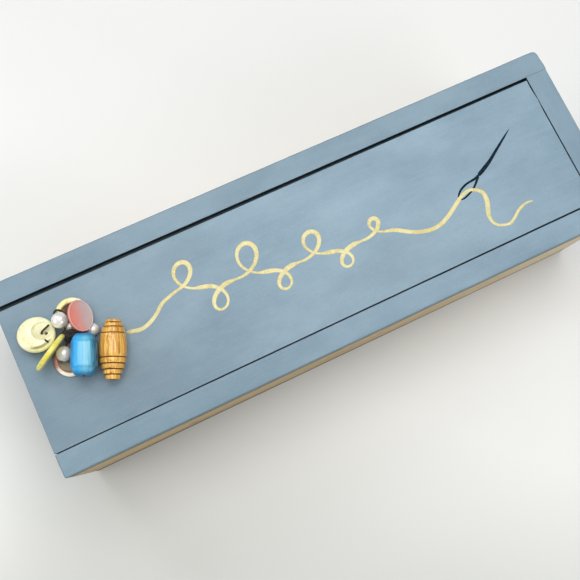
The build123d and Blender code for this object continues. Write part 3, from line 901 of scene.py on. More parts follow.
def barrel():
    prof = [(1.3, -14.93), (1.75, -14.93)]
    prof += soft_ring(-14.91, -12.62, 3.55, 3.70, 3.10)[1:]
    prof += soft_ring(-12.38, -10.10, 4.45, 4.65, 4.05)
    prof += soft_ring(-9.86, -7.28, 5.40, 5.60, 5.00)
    prof += soft_ring(-7.04, -4.30, 6.20, 6.42, 5.85)
    waist = catmull([(6.02, -4.06), (6.42, -3.85), (6.66, -2.6), (6.78, -1.1), (6.82, 0.5), (6.76, 2.2), (6.60, 4.0),
                     (6.36, 5.7), (6.08, 7.3), (5.80, 7.72)], 3)
    prof += [(float(p[0]), float(p[1])) for p in waist]
    prof += [(5.35, 7.80), (5.30, 8.04)]
    prof += soft_ring(8.12, 10.90, 5.62, 5.40, 4.60)[1:]
    prof += soft_ring(11.14, 13.14, 4.70, 4.45, 3.60)
    prof += soft_ring(13.34, 14.81, 3.70, 3.55, 2.65)[:-1]
    prof += [(3.0, 14.83), (1.75, 14.83), (1.3, 14.6), (1.3, -14.7)]
    ob = turned("barrel_bead_wood", prof, 120, placed(mid("barrel_bead"), (0.3987, 0.9171, 0)))
    for v in ob.data.vertices:
        r = math.hypot(v.co.x, v.co.y)
        if r < 1.5 * MM:
            continue
        a = math.atan2(v.co.y, v.co.x)
        # hand turned, and the grain stands a little proud
        k = 0.010 * math.sin(2 * a + 0.8) + 0.006 * math.sin(3 * a + v.co.z * 300)
        g = noise.noise(Vector((math.cos(a) * 5.5, math.sin(a) * 5.5, v.co.z * 70))) * 0.05 * MM
        v.co.x *= 1 + k * 0.5 + g / r
        v.co.y *= 1 + k * 0.5 + g / r
    return smooth(ob, 50)


def bead_wood():
    """Olive-wood look: golden with brown streaks along the bead, darker in the turned grooves, varnished."""
    m = Mat("bead_wood")
    x, y, z = m.xyz()
    r = m.math("SQRT", m.math("ADD", m.math("MULTIPLY", x, x), m.math("MULTIPLY", y, y)))
    warp = m.noise(m.stretch(7, 7, 26), 1.0, 2.0, 0.5)
    rings = m.noise(m.stretch(1.25, 0.55, 60, rot=(0, 0, 0.5)), 1.0, 3.0, 0.62, 0.6)
    fib = m.noise(m.stretch(0.40, 0.22, 8, rot=(0, 0, 0.5)), 1.0, 2.0, 0.55)
    pores = m.noise(m.stretch(0.30, 0.25, 3.2), 1.0, 1.5, 0.5)
    col = m.mix(m.step(warp, 0.36, 0.66), (0.760, 0.420, 0.070), (0.600, 0.290, 0.038))
    col = m.mix(m.step(rings, 0.50, 0.64, 0.0, 0.72), col, (0.330, 0.110, 0.014))
    col = m.mix(m.step(m.math("SUBTRACT", 1.0, rings), 0.50, 0.66, 0.0, 0.70), col, (0.980, 0.650, 0.160))
    col = m.mix(m.step(fib, 0.55, 0.68, 0.0, 0.52), col, (0.210, 0.072, 0.012))
    col = m.mix(m.step(pores, 0.61, 0.70, 0.0, 0.6), col, (0.120, 0.045, 0.010))
    # darker grooves: dark wherever the surface lies below the ring faces
    for g in (-12.50, -9.98, -7.16, -4.17, 7.92, 11.02, 13.24):
        d = m.math("ABSOLUTE", m.math("SUBTRACT", z, g * MM))
        col = m.mix(m.step(d, 0.12 * MM, 0.42 * MM, 0.86, 0.0), col, (0.085, 0.034, 0.009))
    # painted shade in and round the bore
    hole = m.step(r, 1.5 * MM, 2.2 * MM, 0.9, 0.0)
    col = m.mix(hole, col, (0.030, 0.014, 0.006))
    h = m.math("ADD", m.math("MULTIPLY", fib, 0.6), m.math("MULTIPLY", rings, 0.4))
    m.set(color=col, rough=0.36, spec=0.45, coat=0.35, coat_rough=0.14, normal=m.bump(h, 0.14 * MM, 0.7))
    return m.m


finish(barrel(), "lid", "bead_wood", bead_wood(), "barrel_bead")


def blue_bead():
    """Rounded square tube with softly cushioned ends and a bore."""
    S, C, L, E = 13.1, 4.4, 20.5, 4.0
    n_side, n_arc = 9, 12
    ring = []
    h = S / 2 - C
    for q, (cx, cy) in enumerate(((h, h), (-h, h), (-h, -h), (h, -h))):
        for i in range(n_arc + 1):
            a = math.radians(90 * q + 90 * i / n_arc)
            ring.append((cx + C * math.cos(a), cy + C * math.sin(a)))
        nx, ny = ((-h, h + C), (-h - C, -h), (h, -h - C), (h + C, h))[q]
        x0, y0 = ring[-1]
        for i in range(1, n_side):
            t = i / n_side
            ring.append((x0 + (nx - x0) * t, y0 + (ny - y0) * t))
    roll = math.radians(12)
    ring = [(x * math.cos(roll) - y * math.sin(roll), x * math.sin(roll) + y * math.cos(roll)) for x, y in ring]
    N = len(ring)
    # how far in, at each station along the bead
    IN = 2.7
    stations = []
    for i in range(11):
        t = i / 10
        stations.append((-L / 2 + E * (t + 0.10 * math.sin(math.pi * t) - 0.10 * math.sin(2 * math.pi * t)), IN * (1 - t) ** 1.75))
    body = [(-L / 2 + E + (L - 2 * E) * i / 14, -0.22 * math.sin(math.pi * i / 14)) for i in range(1, 14)]
    stations = stations + body + [(-z, ins) for z, ins in reversed(stations)]
    verts, faces = [], []

    def inset(p, d, z):
        x, y = p
        l = math.hypot(x, y)
        k = (l - d * 1.08) / l
        return x * k, y * k

    rows = []
    # bore wall and end faces: rings from the bore out
    def add(r):
        rows.append(len(verts) // N)
        verts.extend(r)

    zlo, zhi = stations[0][0], stations[-1][0]
    def circle(r, z):
        out = []
        for x, y in ring:
            a = math.atan2(y, x)
            out.append((r * math.cos(a), r * math.sin(a), z))
        return out

    add(circle(0.9, zlo + 0.55))
    add(circle(1.05, zlo + 0.18))
    add(circle(1.45, zlo + 0.02))
    first = [(x, y) for x, y in (inset(p, stations[0][1], 0) for p in ring)]
    for k in (0.35, 0.7):
        add([(1.45 * math.cos(math.atan2(y, x)) * (1 - k) + x * k, 1.45 * math.sin(math.atan2(y, x)) * (1 - k) + y * k,
              zlo - 0.02 * (1 - k)) for x, y in first])
    for z, ins in stations:
        add([(*inset(p, ins, z), z) for p in ring])
    for k in (0.7, 0.35):
        add([(1.45 * math.cos(math.atan2(y, x)) * (1 - k) + x * k, 1.45 * math.sin(math.atan2(y, x)) * (1 - k) + y * k,
              zhi + 0.02 * (1 - k)) for x, y in first])
    add(circle(1.45, zhi - 0.02))
    add(circle(1.05, zhi - 0.18))
    add(circle(0.9, zhi - 0.55))
    R = len(verts) // N
    for a in range(R):
        b = (a + 1) % R
        for j in range(N):
            j2 = (j + 1) % N
            faces.append((a * N + j, a * N + j2, b * N + j2, b * N + j))
    verts = [(x * MM, y * MM, z * MM) for x, y, z in verts]
    ob = link("blue_bead_glass", mesh_of("blue_bead", verts, faces), placed(mid("blue_bead"), (0.385, 0.9229, 0)))
    for v in ob.data.vertices:
        if math.hypot(v.co.x, v.co.y) > 2 * MM:
            w = noise.noise(v.co * 170 + Vector((3, 1, 7))) * 0.12 + noise.noise(v.co * 60) * 0.16
            d = Vector((v.co.x, v.co.y, 0)).normalized()
            v.co += d * (w - 0.06) * MM
    return smooth(ob, 60)


def blue_glass():
    """Cat's-eye glass: bands of turquoise and pale blue run along the bead, deeper blue towards its ends, painted light
    and shade across it.
    """
    m = Mat("blue_glass")
    x, y, z = m.xyz()
    band = m.noise(m.stretch(2.6, 2.6, 60, offset=(1.2, 0.4, 0.0)), 1.0, 3.0, 0.55, 0.5)
    fine = m.noise(m.stretch(0.7, 0.7, 12), 1.0, 3.0, 0.6)
    cloud = m.noise(m.stretch(6, 6, 7, offset=(5, 2, 3)), 1.0, 2.0, 0.5)
    # painted light and shade across the bead: bright blue on the lit side, a pale turquoise sheen over the top, dark
    # teal on the shaded side away from the barrel
    across = m.math("DIVIDE", m.math("ADD", m.math("ADD", m.math("MULTIPLY", x, BLUE_A), m.math("MULTIPLY", y, BLUE_B)), 6.6 * MM), 13.2 * MM)
    across = m.math("ADD", across, m.math("MULTIPLY", m.math("SUBTRACT", band, 0.5), 0.22))
    col = m.ramp(across, [(0.00, (0.003, 0.085, 0.270)), (0.10, (0.008, 0.240, 0.620)), (0.24, (0.014, 0.350, 0.760)),
                          (0.40, (0.045, 0.380, 0.690)), (0.60, (0.140, 0.470, 0.640)), (0.78, (0.065, 0.340, 0.480)),
                          (0.90, (0.012, 0.120, 0.200)), (1.0, (0.006, 0.060, 0.110))])
    col = m.mix(m.step(fine, 0.52, 0.66, 0.0, 0.42), col, (0.220, 0.520, 0.700))
    col = m.mix(m.step(band, 0.53, 0.62, 0.0, 0.42), col, (0.008, 0.230, 0.520))
    end = m.step(m.math("ABSOLUTE", z), 7.4 * MM, 10.0 * MM, 0.0, 0.72)
    col = m.mix(end, col, (0.004, 0.115, 0.300))
    m.set(color=col, rough=0.30, spec=0.4, coat=0.28, coat_rough=0.06,
          normal=m.bump(m.math("ADD", m.math("MULTIPLY", cloud, 0.7), m.math("MULTIPLY", fine, 0.3)), 0.14 * MM, 0.35))
    return m.m


BLUE_M = placed(mid("blue_bead"), (0.385, 0.9229, 0))
# the bead's local direction that faces away from the barrel, level with the lid
_r = BLUE_M.to_3x3().inverted() @ Vector((0.9229, -0.385, 0.0))
BLUE_A, BLUE_B = _r.x, _r.y
finish(blue_bead(), "lid", "blue_bead", blue_glass(), "blue_bead")


def pearl(node, r, hole, seed):
    """Faux pearl with a small bore, very slightly uneven."""
    prof = []
    hr = 0.45
    a0 = math.degrees(math.asin(hr / r))
    n = 44
    pts = []
    for i in range(n + 1):
        a = math.radians(-90 + a0 + (180 - 2 * a0) * i / n)
        pts.append((r * math.cos(a), r * math.sin(a)))
    zt = r * math.cos(math.radians(a0))
    prof = [(hr * 0.95, -zt + 0.12)] + pts + [(hr * 0.95, zt - 0.12)]
    ob = turned(node + "_bead", prof, 72, placed(mid(node), hole))
    for v in ob.data.vertices:
        if v.co.length > 0.9 * r * MM:
            v.co *= 1 - 0.012 * (0.5 + noise.noise(v.co * 260 + Vector((seed, 0, 0))))
    return smooth(ob, 60)


def pearl_material(name, base, tint, seed):
    m = Mat(name)
    cloud = m.noise(m.stretch(2.6, 2.6, 2.6, offset=(seed, 0, 0)), 1.0, 3.0, 0.55)
    cloud2 = m.noise(m.stretch(1.1, 1.1, 1.1, offset=(0, seed, 0)), 1.0, 2.0, 0.5)
    col = m.mix(m.step(cloud, 0.36, 0.64), base, tint)
    col = m.mix(m.step(cloud2, 0.5, 0.7, 0.0, 0.30), col, (0.56, 0.50, 0.43))
    x, y, z = m.xyz()
    r = m.math("SQRT", m.math("ADD", m.math("MULTIPLY", x, x), m.math("MULTIPLY", y, y)))
    # painted shade in and round the bore
    col = m.mix(m.step(r, 0.5 * MM, 0.95 * MM, 0.7, 0.0), col, (0.10, 0.07, 0.05))
    m.set(color=col, metal=0.28, rough=0.18, spec=0.6, coat=1.0, coat_rough=0.05,
          normal=m.bump(m.math("ADD", cloud2, cloud), 0.16 * MM, 0.45))
    return m.m


PEARL_MAT = pearl_material("pearl_grey", (0.800, 0.780, 0.730), (0.940, 0.920, 0.870), 1.0)
PEARL_PINK = pearl_material("pearl_pink", (0.820, 0.760, 0.730), (0.930, 0.890, 0.860), 4.0)
for node, r, hole, mat, seed in (("pearl_upper", 4.20, (0.10, -0.80, -0.35), PEARL_MAT, 1.0),
                                 ("pearl_right", 3.30, (-0.97, 0.10, 0.0), PEARL_PINK, 5.0),
                                 ("pearl_lower", 3.97, (0.52, 0.80, -0.20), PEARL_MAT, 9.0),
                                 ("seed_pearl", 1.75, (-0.60, -0.75, -0.30), PEARL_PINK, 12.0)):
    finish(pearl(node, r, hole, seed), "lid", "pearl", mat, node)


def hole_cut(ob, holes, matrix, flare=0.35, depth=6.0, top=None):
    """Sewing holes through a button; top, the face height in mm at each hole, is not used."""
    cuts = []
    for i, (hx, hy, r) in enumerate(holes):
        t = top[i] if top else None
        cuts.append(cyl(r, -depth, depth, hx, hy, 32, matrix))
    return boolean(ob, cuts)


def yellow_button():
    R, T = 10.6, 2.5
    f = 1.05
    prof = [(1e-5, -T / 2)]
    prof += [(R * k, -T / 2) for k in (0.25, 0.5, 0.75)]
    prof += arc(R - f, -T / 2 + f, f, -90, 0, 7)
    prof += arc(R - f, T / 2 - f, f, 0, 90, 7)
    prof += [(7.4, T / 2 + 0.0), (6.7, T / 2), (6.3, T / 2 - 0.06), (6.05, T / 2 - 0.22), (5.75, T / 2 - 0.36),
             (5.2, T / 2 - 0.40), (3.6, T / 2 - 0.40), (2.0, T / 2 - 0.40), (1e-5, T / 2 - 0.40)]
    mat = placed(mid("yellow_button"), (-0.5111, 0.8348, 0.2048))
    ob = turned("yellow_button_disc", prof, 96, mat, closed=False)
    return smooth(hole_cut(ob, [(2.1, 0, 0.9), (-2.1, 0, 0.9)], mat), 40)


def plastic(name, base, light, dark, smudge=None, rough=0.28, sss=0.25, olive_shade=None):
    m = Mat(name)
    cloud = m.noise(m.stretch(8, 8, 4), 1.0, 3.0, 0.5)
    swirl = m.noise(m.stretch(2.4, 5.0, 2.4, rot=(0, 0, 0.6)), 1.0, 3.0, 0.6, 0.8)
    fine = m.noise(m.stretch(0.7, 0.7, 0.7), 1.0, 2.0, 0.6)
    col = m.mix(m.step(cloud, 0.36, 0.64), base, light)
    col = m.mix(m.step(swirl, 0.52, 0.72, 0.0, 0.45), col, dark)
    if smudge:
        spots = m.noise(m.stretch(1.5, 1.5, 1.5, offset=(2.2, 8.1, 0.4)), 1.0, 3.0, 0.6)
        col = m.mix(m.step(spots, 0.60, 0.74, 0.0, 0.55), col, smudge)
    if olive_shade:
        # painted shade, olive, on one side of the wall, in a crescent
        x, y, z = m.xyz()
        run = m.math("ADD", m.math("MULTIPLY", x, olive_shade[0]), m.math("MULTIPLY", y, olive_shade[1]))
        run = m.math("ADD", run, m.math("MULTIPLY", m.math("SUBTRACT", swirl, 0.5), 2.0 * MM))
        rad = m.math("SQRT", m.math("ADD", m.math("MULTIPLY", x, x), m.math("MULTIPLY", y, y)))
        ring = m.step(m.math("ABSOLUTE", m.math("SUBTRACT", rad, 7.5 * MM)), 0.25 * MM, 1.1 * MM, 1.0, 0.0)
        col = m.mix(m.math("MULTIPLY", m.step(run, olive_shade[2], olive_shade[3]), ring), col, olive_shade[4])
        # painted shade, olive, in the off-centre bowl
        bowl = m.vmath("DISTANCE", m.stretch(1000, 1000, 1000), (3.2 * MM, 1.2 * MM, 1.9 * MM))
        col = m.mix(m.step(bowl, 3.3 * MM, 5.2 * MM, 0.34, 0.0), col, (0.420, 0.380, 0.130))
    m.set(color=col, rough=m.step(fine, 0.3, 0.7, rough - 0.06, rough + 0.10), spec=0.5, coat=0.30, coat_rough=0.12,
          sss=sss, sss_radius=(1.0, 0.85, 0.4), sss_scale=1.2 * MM, normal=m.bump(fine, 0.03 * MM, 0.3))
    return m.m


finish(yellow_button(), "lid", "yellow_plastic",
       plastic("yellow_plastic", (0.700, 0.630, 0.095), (0.800, 0.740, 0.190), (0.480, 0.390, 0.035)), "yellow_button")

CREAM_M = placed(mid("cream_button", (0.010, 0.030, 0.145)), (0.1269, 0.1709, 0.9771), (0.9150, -0.4030, 0.0161))


def cream_button():
    def three(p0, p1, p2, n):
        (ax, ay), (bx, by), (cx, cy) = p0, p1, p2
        d = 2 * (ax * (by - cy) + bx * (cy - ay) + cx * (ay - by))
        ux = ((ax * ax + ay * ay) * (by - cy) + (bx * bx + by * by) * (cy - ay) + (cx * cx + cy * cy) * (ay - by)) / d
        uy = ((ax * ax + ay * ay) * (cx - bx) + (bx * bx + by * by) * (ax - cx) + (cx * cx + cy * cy) * (bx - ax)) / d
        r = math.hypot(ax - ux, ay - uy)
        a0, a1, a2 = (math.atan2(p[1] - uy, p[0] - ux) for p in (p0, p1, p2))
        while a2 - a0 > math.pi:
            a2 -= 2 * math.pi
        while a2 - a0 < -math.pi:
            a2 += 2 * math.pi
        return [(ux + r * math.cos(a0 + (a2 - a0) * i / n), uy + r * math.sin(a0 + (a2 - a0) * i / n)) for i in range(n + 1)]

    dome = three((1e-5, 3.1), (4.8, 2.75), (8.35, 1.55), 16)
    wall = three((8.35, 1.55), (9.35, 0.15), (8.9, -1.3), 12)[1:]
    prof = [(1e-5, -2.7), (3.1, -2.7), (5.8, -2.7)] + [(6.25, -2.66), (8.6, -1.52)] + wall[::-1] + dome[::-1]
    ob = turned("cream_button_disc", prof, 112, CREAM_M, closed=False)
    # the bowl is turned off centre
    bowl_p = [(1e-5, 1.38), (1.6, 1.40), (3.0, 1.50), (4.0, 1.68), (4.6, 1.96), (4.92, 2.38), (5.10, 2.90), (5.30, 3.60),
              (5.40, 9.0), (1e-5, 9.0)]
    bowl_m = CREAM_M @ Matrix.Translation((3.2 * MM, 1.2 * MM, 0.0))
    bowl = turned("cut", bowl_p, 96, bowl_m, closed=False)
    ob = boolean(ob, [bowl])
    ob = boolean(ob, [cyl(0.8, -8, 8, hx, hy, 32, CREAM_M) for hx, hy in ((2.9, 0.3), (5.0, 0.2))])
    return smooth(ob, 28)


finish(cream_button(), "lid", "cream_plastic",
       plastic("cream_plastic", (0.800, 0.775, 0.480), (0.880, 0.860, 0.600), (0.680, 0.640, 0.270),
               smudge=(0.520, 0.330, 0.230), rough=0.30, sss=0.35,
               olive_shade=(0.50, -0.866, 5.2 * MM, 6.8 * MM, (0.330, 0.300, 0.075))), "cream_button")


def shell_button(name, node, r, t, rim, dish, x_dir, seed):
    """Shell disc: raised rolled rim round a dished middle, two holes."""
    f = 0.75
    prof = [(1e-5, -t / 2), (r * 0.3, -t / 2), (r * 0.6, -t / 2), (r - f - 0.4, -t / 2)]
    prof += arc(r - f, -t / 2 + f, f, -90, 0, 6)
    prof += arc(r - f, t / 2 - f, f, 0, 90, 7)
    inner = r - rim
    prof += [(r - f - rim * 0.20, t / 2 - 0.01), (inner + rim * 0.42, t / 2 - 0.05), (inner + rim * 0.22, t / 2 - 0.14)]
    prof += [(inner + 0.22, t / 2 - 0.32), (inner + 0.02, t / 2 - 0.62), (inner - 0.25, t / 2 - dish + 0.10),
             (inner - 0.7, t / 2 - dish), (inner * 0.5, t / 2 - dish - 0.02), (1e-5, t / 2 - dish)]
    mat = placed(mid(node), (0, 0, 1), x_dir)
    ob = turned(name, prof, 112, mat, closed=False)
    for v in ob.data.vertices:
        w = noise.noise(v.co * 210 + Vector((seed, 0, 0)))
        if v.co.z > 0:
            v.co.z += (w - 0.35) * 0.06 * MM
        rr = math.hypot(v.co.x, v.co.y)
        if rr > 0.9 * r * MM:
            k = 1 + (w - 0.5) * 0.006
            v.co.x *= k
            v.co.y *= k
    ob = hole_cut(ob, [(2.0, 0, 0.9), (-2.0, 0, 0.9)], mat)
    return smooth(ob, 40)


def shell_material(name, rim_a, rim_b, rim_c, inside, patch, line, r, rim, seed, axis):
    """Polished shell: the rim changes colour round the disc, a darker line inside it, growth bands in the dish."""
    m = Mat(name)
    x, y, z = m.xyz()
    rad = m.math("SQRT", m.math("ADD", m.math("MULTIPLY", x, x), m.math("MULTIPLY", y, y)))
    bands = m.noise(m.stretch(12, 1.1, 6, offset=(seed, 0, 0), rot=(0, 0, 0.4)), 1.0, 3.0, 0.6, 1.2)
    cloud = m.noise(m.stretch(6, 6, 6, offset=(seed, 3, 0)), 1.0, 2.0, 0.5)
    fine = m.noise(m.stretch(0.9, 0.5, 0.9), 1.0, 2.0, 0.6)
    run = m.math("ADD", m.math("MULTIPLY", x, axis[0]), m.math("MULTIPLY", y, axis[1]))
    run = m.math("ADD", run, m.math("MULTIPLY", m.math("SUBTRACT", cloud, 0.5), 5.0 * MM))
    col = m.mix(m.step(run, -3.2 * MM, 0.6 * MM), rim_a, rim_b)
    col = m.mix(m.step(run, 3 * MM, 8 * MM), col, rim_c)
    col = m.mix(m.step(bands, 0.45, 0.68, 0.0, 0.40), col, line)
    # the dish's dark colours are painted shade from what lies over it
    dish = m.step(rad, (r - rim - 0.05) * MM, (r - rim + 0.5) * MM, 1.0, 0.0)
    ins = m.mix(m.step(cloud, 0.42, 0.60), inside, patch)
    ins = m.mix(m.step(bands, 0.55, 0.70, 0.0, 0.18), ins, line)
    col = m.mix(dish, col, ins)
    # painted shade where the rim steps down into the dish
    ring = m.math("ABSOLUTE", m.math("SUBTRACT", rad, (r - rim + 0.25) * MM))
    col = m.mix(m.step(ring, 0.12 * MM, 0.45 * MM, 0.75, 0.0), col, line)
    m.set(color=col, rough=m.math("ADD", m.math("MULTIPLY", dish, 0.3), 0.24), spec=0.32,
          coat=m.math("SUBTRACT", 0.5, m.math("MULTIPLY", dish, 0.5)), coat_rough=0.08,
          normal=m.bump(m.math("ADD", bands, fine), 0.08 * MM, 0.4))
    return m.m


# the dark dish colours given here are painted shade: the pink disc lies over the upper dish, a pearl over the lower
finish(shell_button("upper_shell_disc", "upper_shell_button", 8.7, 2.4, 3.0, 0.9, (0.80, 0.60, 0), 3.0), "lid", "yellow_shell",
       shell_material("upper_shell", (0.860, 0.800, 0.330), (0.900, 0.850, 0.560), (0.720, 0.590, 0.430),
                      (0.080, 0.040, 0.020), (0.150, 0.085, 0.045), (0.460, 0.270, 0.090), 8.7, 3.0, 2.0, (0.50, -0.86)), "upper_shell_button")
finish(shell_button("lower_shell_disc", "lower_shell_button", 8.4, 2.3, 2.4, 0.8, (0.92, -0.40, 0), 8.0), "lid", "rose_shell",
       shell_material("lower_shell", (0.640, 0.240, 0.190), (0.900, 0.840, 0.700), (0.800, 0.720, 0.500),
                      (0.150, 0.135, 0.085), (0.300, 0.270, 0.190), (0.420, 0.200, 0.120), 8.4, 2.4, 7.0, (0.80, -0.60)), "lower_shell_button")


def pink_button():
    R, T = 8.0, 1.4
    f = 0.45
    prof = [(1e-5, -T / 2), (R * 0.35, -T / 2), (R * 0.7, -T / 2)]
    prof += arc(R - f, -T / 2 + f, f, -90, 0, 5)
    prof += arc(R - 0.40, T / 2 - 0.40, 0.40, 0, 90, 6)
    prof += [(R - 0.62, T / 2 - 0.03), (R - 0.80, T / 2 - 0.15), (R - 0.98, T / 2 - 0.20), (R * 0.8, T / 2 - 0.20),
             (R * 0.6, T / 2 - 0.20), (R * 0.4, T / 2 - 0.20), (R * 0.2, T / 2 - 0.20), (1e-5, T / 2 - 0.20)]
    ob = turned("pink_disc", prof, 112, placed(mid("pink_button"), (0.7915, -0.2050, 0.5757)), closed=False)
    for v in ob.data.vertices:
        if v.co.z > 0:
            v.co.z += noise.noise(v.co * 120) * 0.03 * MM
    return smooth(ob, 40)


_p = placed(mid("pink_button"), (0.7915, -0.2050, 0.5757)).to_3x3().inverted() @ Vector((1.0, -0.10, -0.17)).normalized()
PINK_A, PINK_B = _p.x, _p.y


def pink_material():
    """Pink shell: salmon across the disc, turning grey-rose to one side as a painted reflection, a pale lip with a
    darker line inside it, painted shade on its side and underside.
    """
    m = Mat("pink_shell")
    lx, ly, lz = m.xyz()
    rad = m.math("SQRT", m.math("ADD", m.math("MULTIPLY", lx, lx), m.math("MULTIPLY", ly, ly)))
    drift = m.noise(m.stretch(7, 4, 7), 1.0, 3.0, 0.6, 0.8)
    bands = m.noise(m.stretch(1.0, 7.5, 4, rot=(0, 0, 0.5)), 1.0, 3.0, 0.6, 0.6)
    fine = m.noise(m.stretch(0.5, 1.2, 1), 1.0, 2.0, 0.6)
    # painted reflection: the disc turns grey-rose towards one side
    grey = m.math("ADD", m.math("MULTIPLY", lx, PINK_A), m.math("MULTIPLY", ly, PINK_B))
    t = m.math("ADD", m.math("DIVIDE", m.math("ADD", grey, 7.8 * MM), 15.6 * MM), m.math("MULTIPLY", m.math("SUBTRACT", drift, 0.5), 0.30))
    col = m.ramp(t, [(0.05, (0.740, 0.190, 0.135)), (0.30, (0.700, 0.225, 0.180)), (0.48, (0.620, 0.300, 0.270)),
                     (0.60, (0.520, 0.370, 0.370)), (0.85, (0.540, 0.430, 0.430)), (1.0, (0.580, 0.480, 0.470))])
    col = m.mix(m.step(bands, 0.50, 0.70, 0.0, 0.25), col, (0.700, 0.400, 0.370))
    lip = m.step(rad, 7.15 * MM, 7.3 * MM, 0.0, 0.40)
    col = m.mix(lip, col, m.mix(m.step(t, 0.3, 0.8), (0.740, 0.360, 0.300), (0.700, 0.580, 0.550)))
    inner = m.math("ABSOLUTE", m.math("SUBTRACT", rad, 7.05 * MM))
    col = m.mix(m.step(inner, 0.06 * MM, 0.20 * MM, 0.35, 0.0), col, (0.420, 0.130, 0.095))
    # painted shade on the disc's side and underside
    side = m.step(lz, -0.1 * MM, 0.25 * MM, 0.8, 0.0)
    col = m.mix(side, col, (0.380, 0.090, 0.070))
    m.set(color=col, rough=0.30, spec=0.5, coat=0.35, coat_rough=0.10,
          normal=m.bump(m.math("ADD", bands, fine), 0.05 * MM, 0.25))
    return m.m


finish(pink_button(), "lid", "pink_shell", pink_material(), "pink_button")


# ---------------------------------------------------------------------------
# Elastic cord
# ---------------------------------------------------------------------------
def tube(name, pts, r=0.5, per=8, ribs=0.045, seg=14, twist=2.3):
    """Round cord through the points (mm), its surface ribbed by the braid; closed rounded ends."""
    line = catmull(pts, per)
    N = len(line)
    P = [Vector(p) for p in line]
    T = [(P[min(N - 1, i + 1)] - P[max(0, i - 1)]).normalized() for i in range(N)]
    up = Vector((0, 0, 1)) if abs(T[0].z) < 0.9 else Vector((1, 0, 0))
    n0 = (up - T[0] * up.dot(T[0])).normalized()
    verts, faces = [], []
    length = 0.0
    for i in range(N):
        if i:
            length += (P[i] - P[i - 1]).length
            n0 = (n0 - T[i] * n0.dot(T[i])).normalized()
        b = T[i].cross(n0)
        k = min(1.0, math.sqrt(max(0.05, min(i, N - 1 - i) + 0.25) / 2.2))
        for j in range(seg):
            a = 2 * math.pi * j / seg
            rib = 1 + ribs * (math.sin(4 * a + length * twist) + math.sin(4 * a - length * twist * 1.3))
            q = P[i] + (n0 * math.cos(a) + b * math.sin(a)) * (r * k * rib)
            verts.append(q * MM)
    for i in range(N - 1):
        for j in range(seg):
            j2 = (j + 1) % seg
            faces.append((i * seg + j, i * seg + j2, (i + 1) * seg + j2, (i + 1) * seg + j))
    faces.append(tuple(range(seg))[::-1])
    faces.append(tuple((N - 1) * seg + j for j in range(seg)))
    ob = link(name, mesh_of(name, verts, faces))
    return smooth(ob, 60)


def cord_material():
    m = Mat("elastic_cord")
    weave = m.noise(m.stretch(0.28, 0.28, 0.28), 1.0, 3.0, 0.65)
    slow = m.noise(m.stretch(3, 3, 3), 1.0, 2.0, 0.5)
    col = m.mix(m.step(weave, 0.42, 0.72), (0.012, 0.011, 0.011), (0.055, 0.048, 0.044))
    col = m.mix(m.step(slow, 0.45, 0.7, 0.0, 0.5), col, (0.040, 0.026, 0.018))
    m.set(color=col, rough=0.62, spec=0.35, sheen=0.25, sheen_rough=0.5, normal=m.bump(weave, 0.10 * MM, 0.8))
    return m.m


CORD = cord_material()


def on_cream(x, y, z):
    return tuple((CREAM_M @ (Vector((x, y, z)) * MM)) / MM)


finish(tube("cream_button_cord", [on_cream(2.9, 0.3, -2.3), on_cream(2.9, 0.3, -0.6), on_cream(2.9, 0.3, 1.0),
                                  on_cream(3.0, 0.42, 2.2), on_cream(3.5, 0.95, 2.95), on_cream(4.6, 2.1, 3.15),
                                  on_cream(6.5, 4.2, 3.2)]), "lid", "black_cord", CORD, "cream_cord")
finish(tube("cream_cord_end", [on_cream(4.7, -3.3, 1.7), on_cream(5.2, -3.7, 2.35), on_cream(5.9, -4.2, 2.6), on_cream(6.7, -4.7, 2.2)],
            r=0.48), "lid", "black_cord", CORD)
k_lo, k_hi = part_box("cord_knot")
KX, KY = (k_lo.x + k_hi.x) / 2 / MM, (k_lo.y + k_hi.y) / 2 / MM
KZ0, KZ1 = k_lo.z / MM, k_hi.z / MM


def knot():
    """The cord wound over itself: five uneven turns, drawn in towards the top."""
    pts = []
    n = 100
    for i in range(n + 1):
        s = i / n
        a = 2 * math.pi * 5.2 * s
        z = KZ0 + 0.55 + (KZ1 - KZ0 - 1.15) * s + 0.18 * math.sin(2.3 * a)
        r = 1.78 * (1 - 0.55 * s * s) + 0.16 * math.sin(1.7 * a + 1)
        pts.append((KX + r * math.cos(a), KY + r * math.sin(a), z))
    return pts


KNOT_PTS = knot()
finish(tube("wound_knot", KNOT_PTS, r=0.62, per=3, seg=12), "lid", "black_cord", CORD, "cord_knot")
core = [(KX - 0.2, KY + 0.1, KZ0 + 0.3), (KX + 0.3, KY - 0.2, KZ0 + 1.6), (KX - 0.2, KY - 0.1, KZ0 + 3.0),
        (KX + 0.1, KY + 0.2, KZ0 + 4.4), (KX, KY, KZ1 - 0.6)]
finish(tube("knot_core", core, r=1.05, per=6, ribs=0.07), "lid", "black_cord", CORD, "cord_knot")


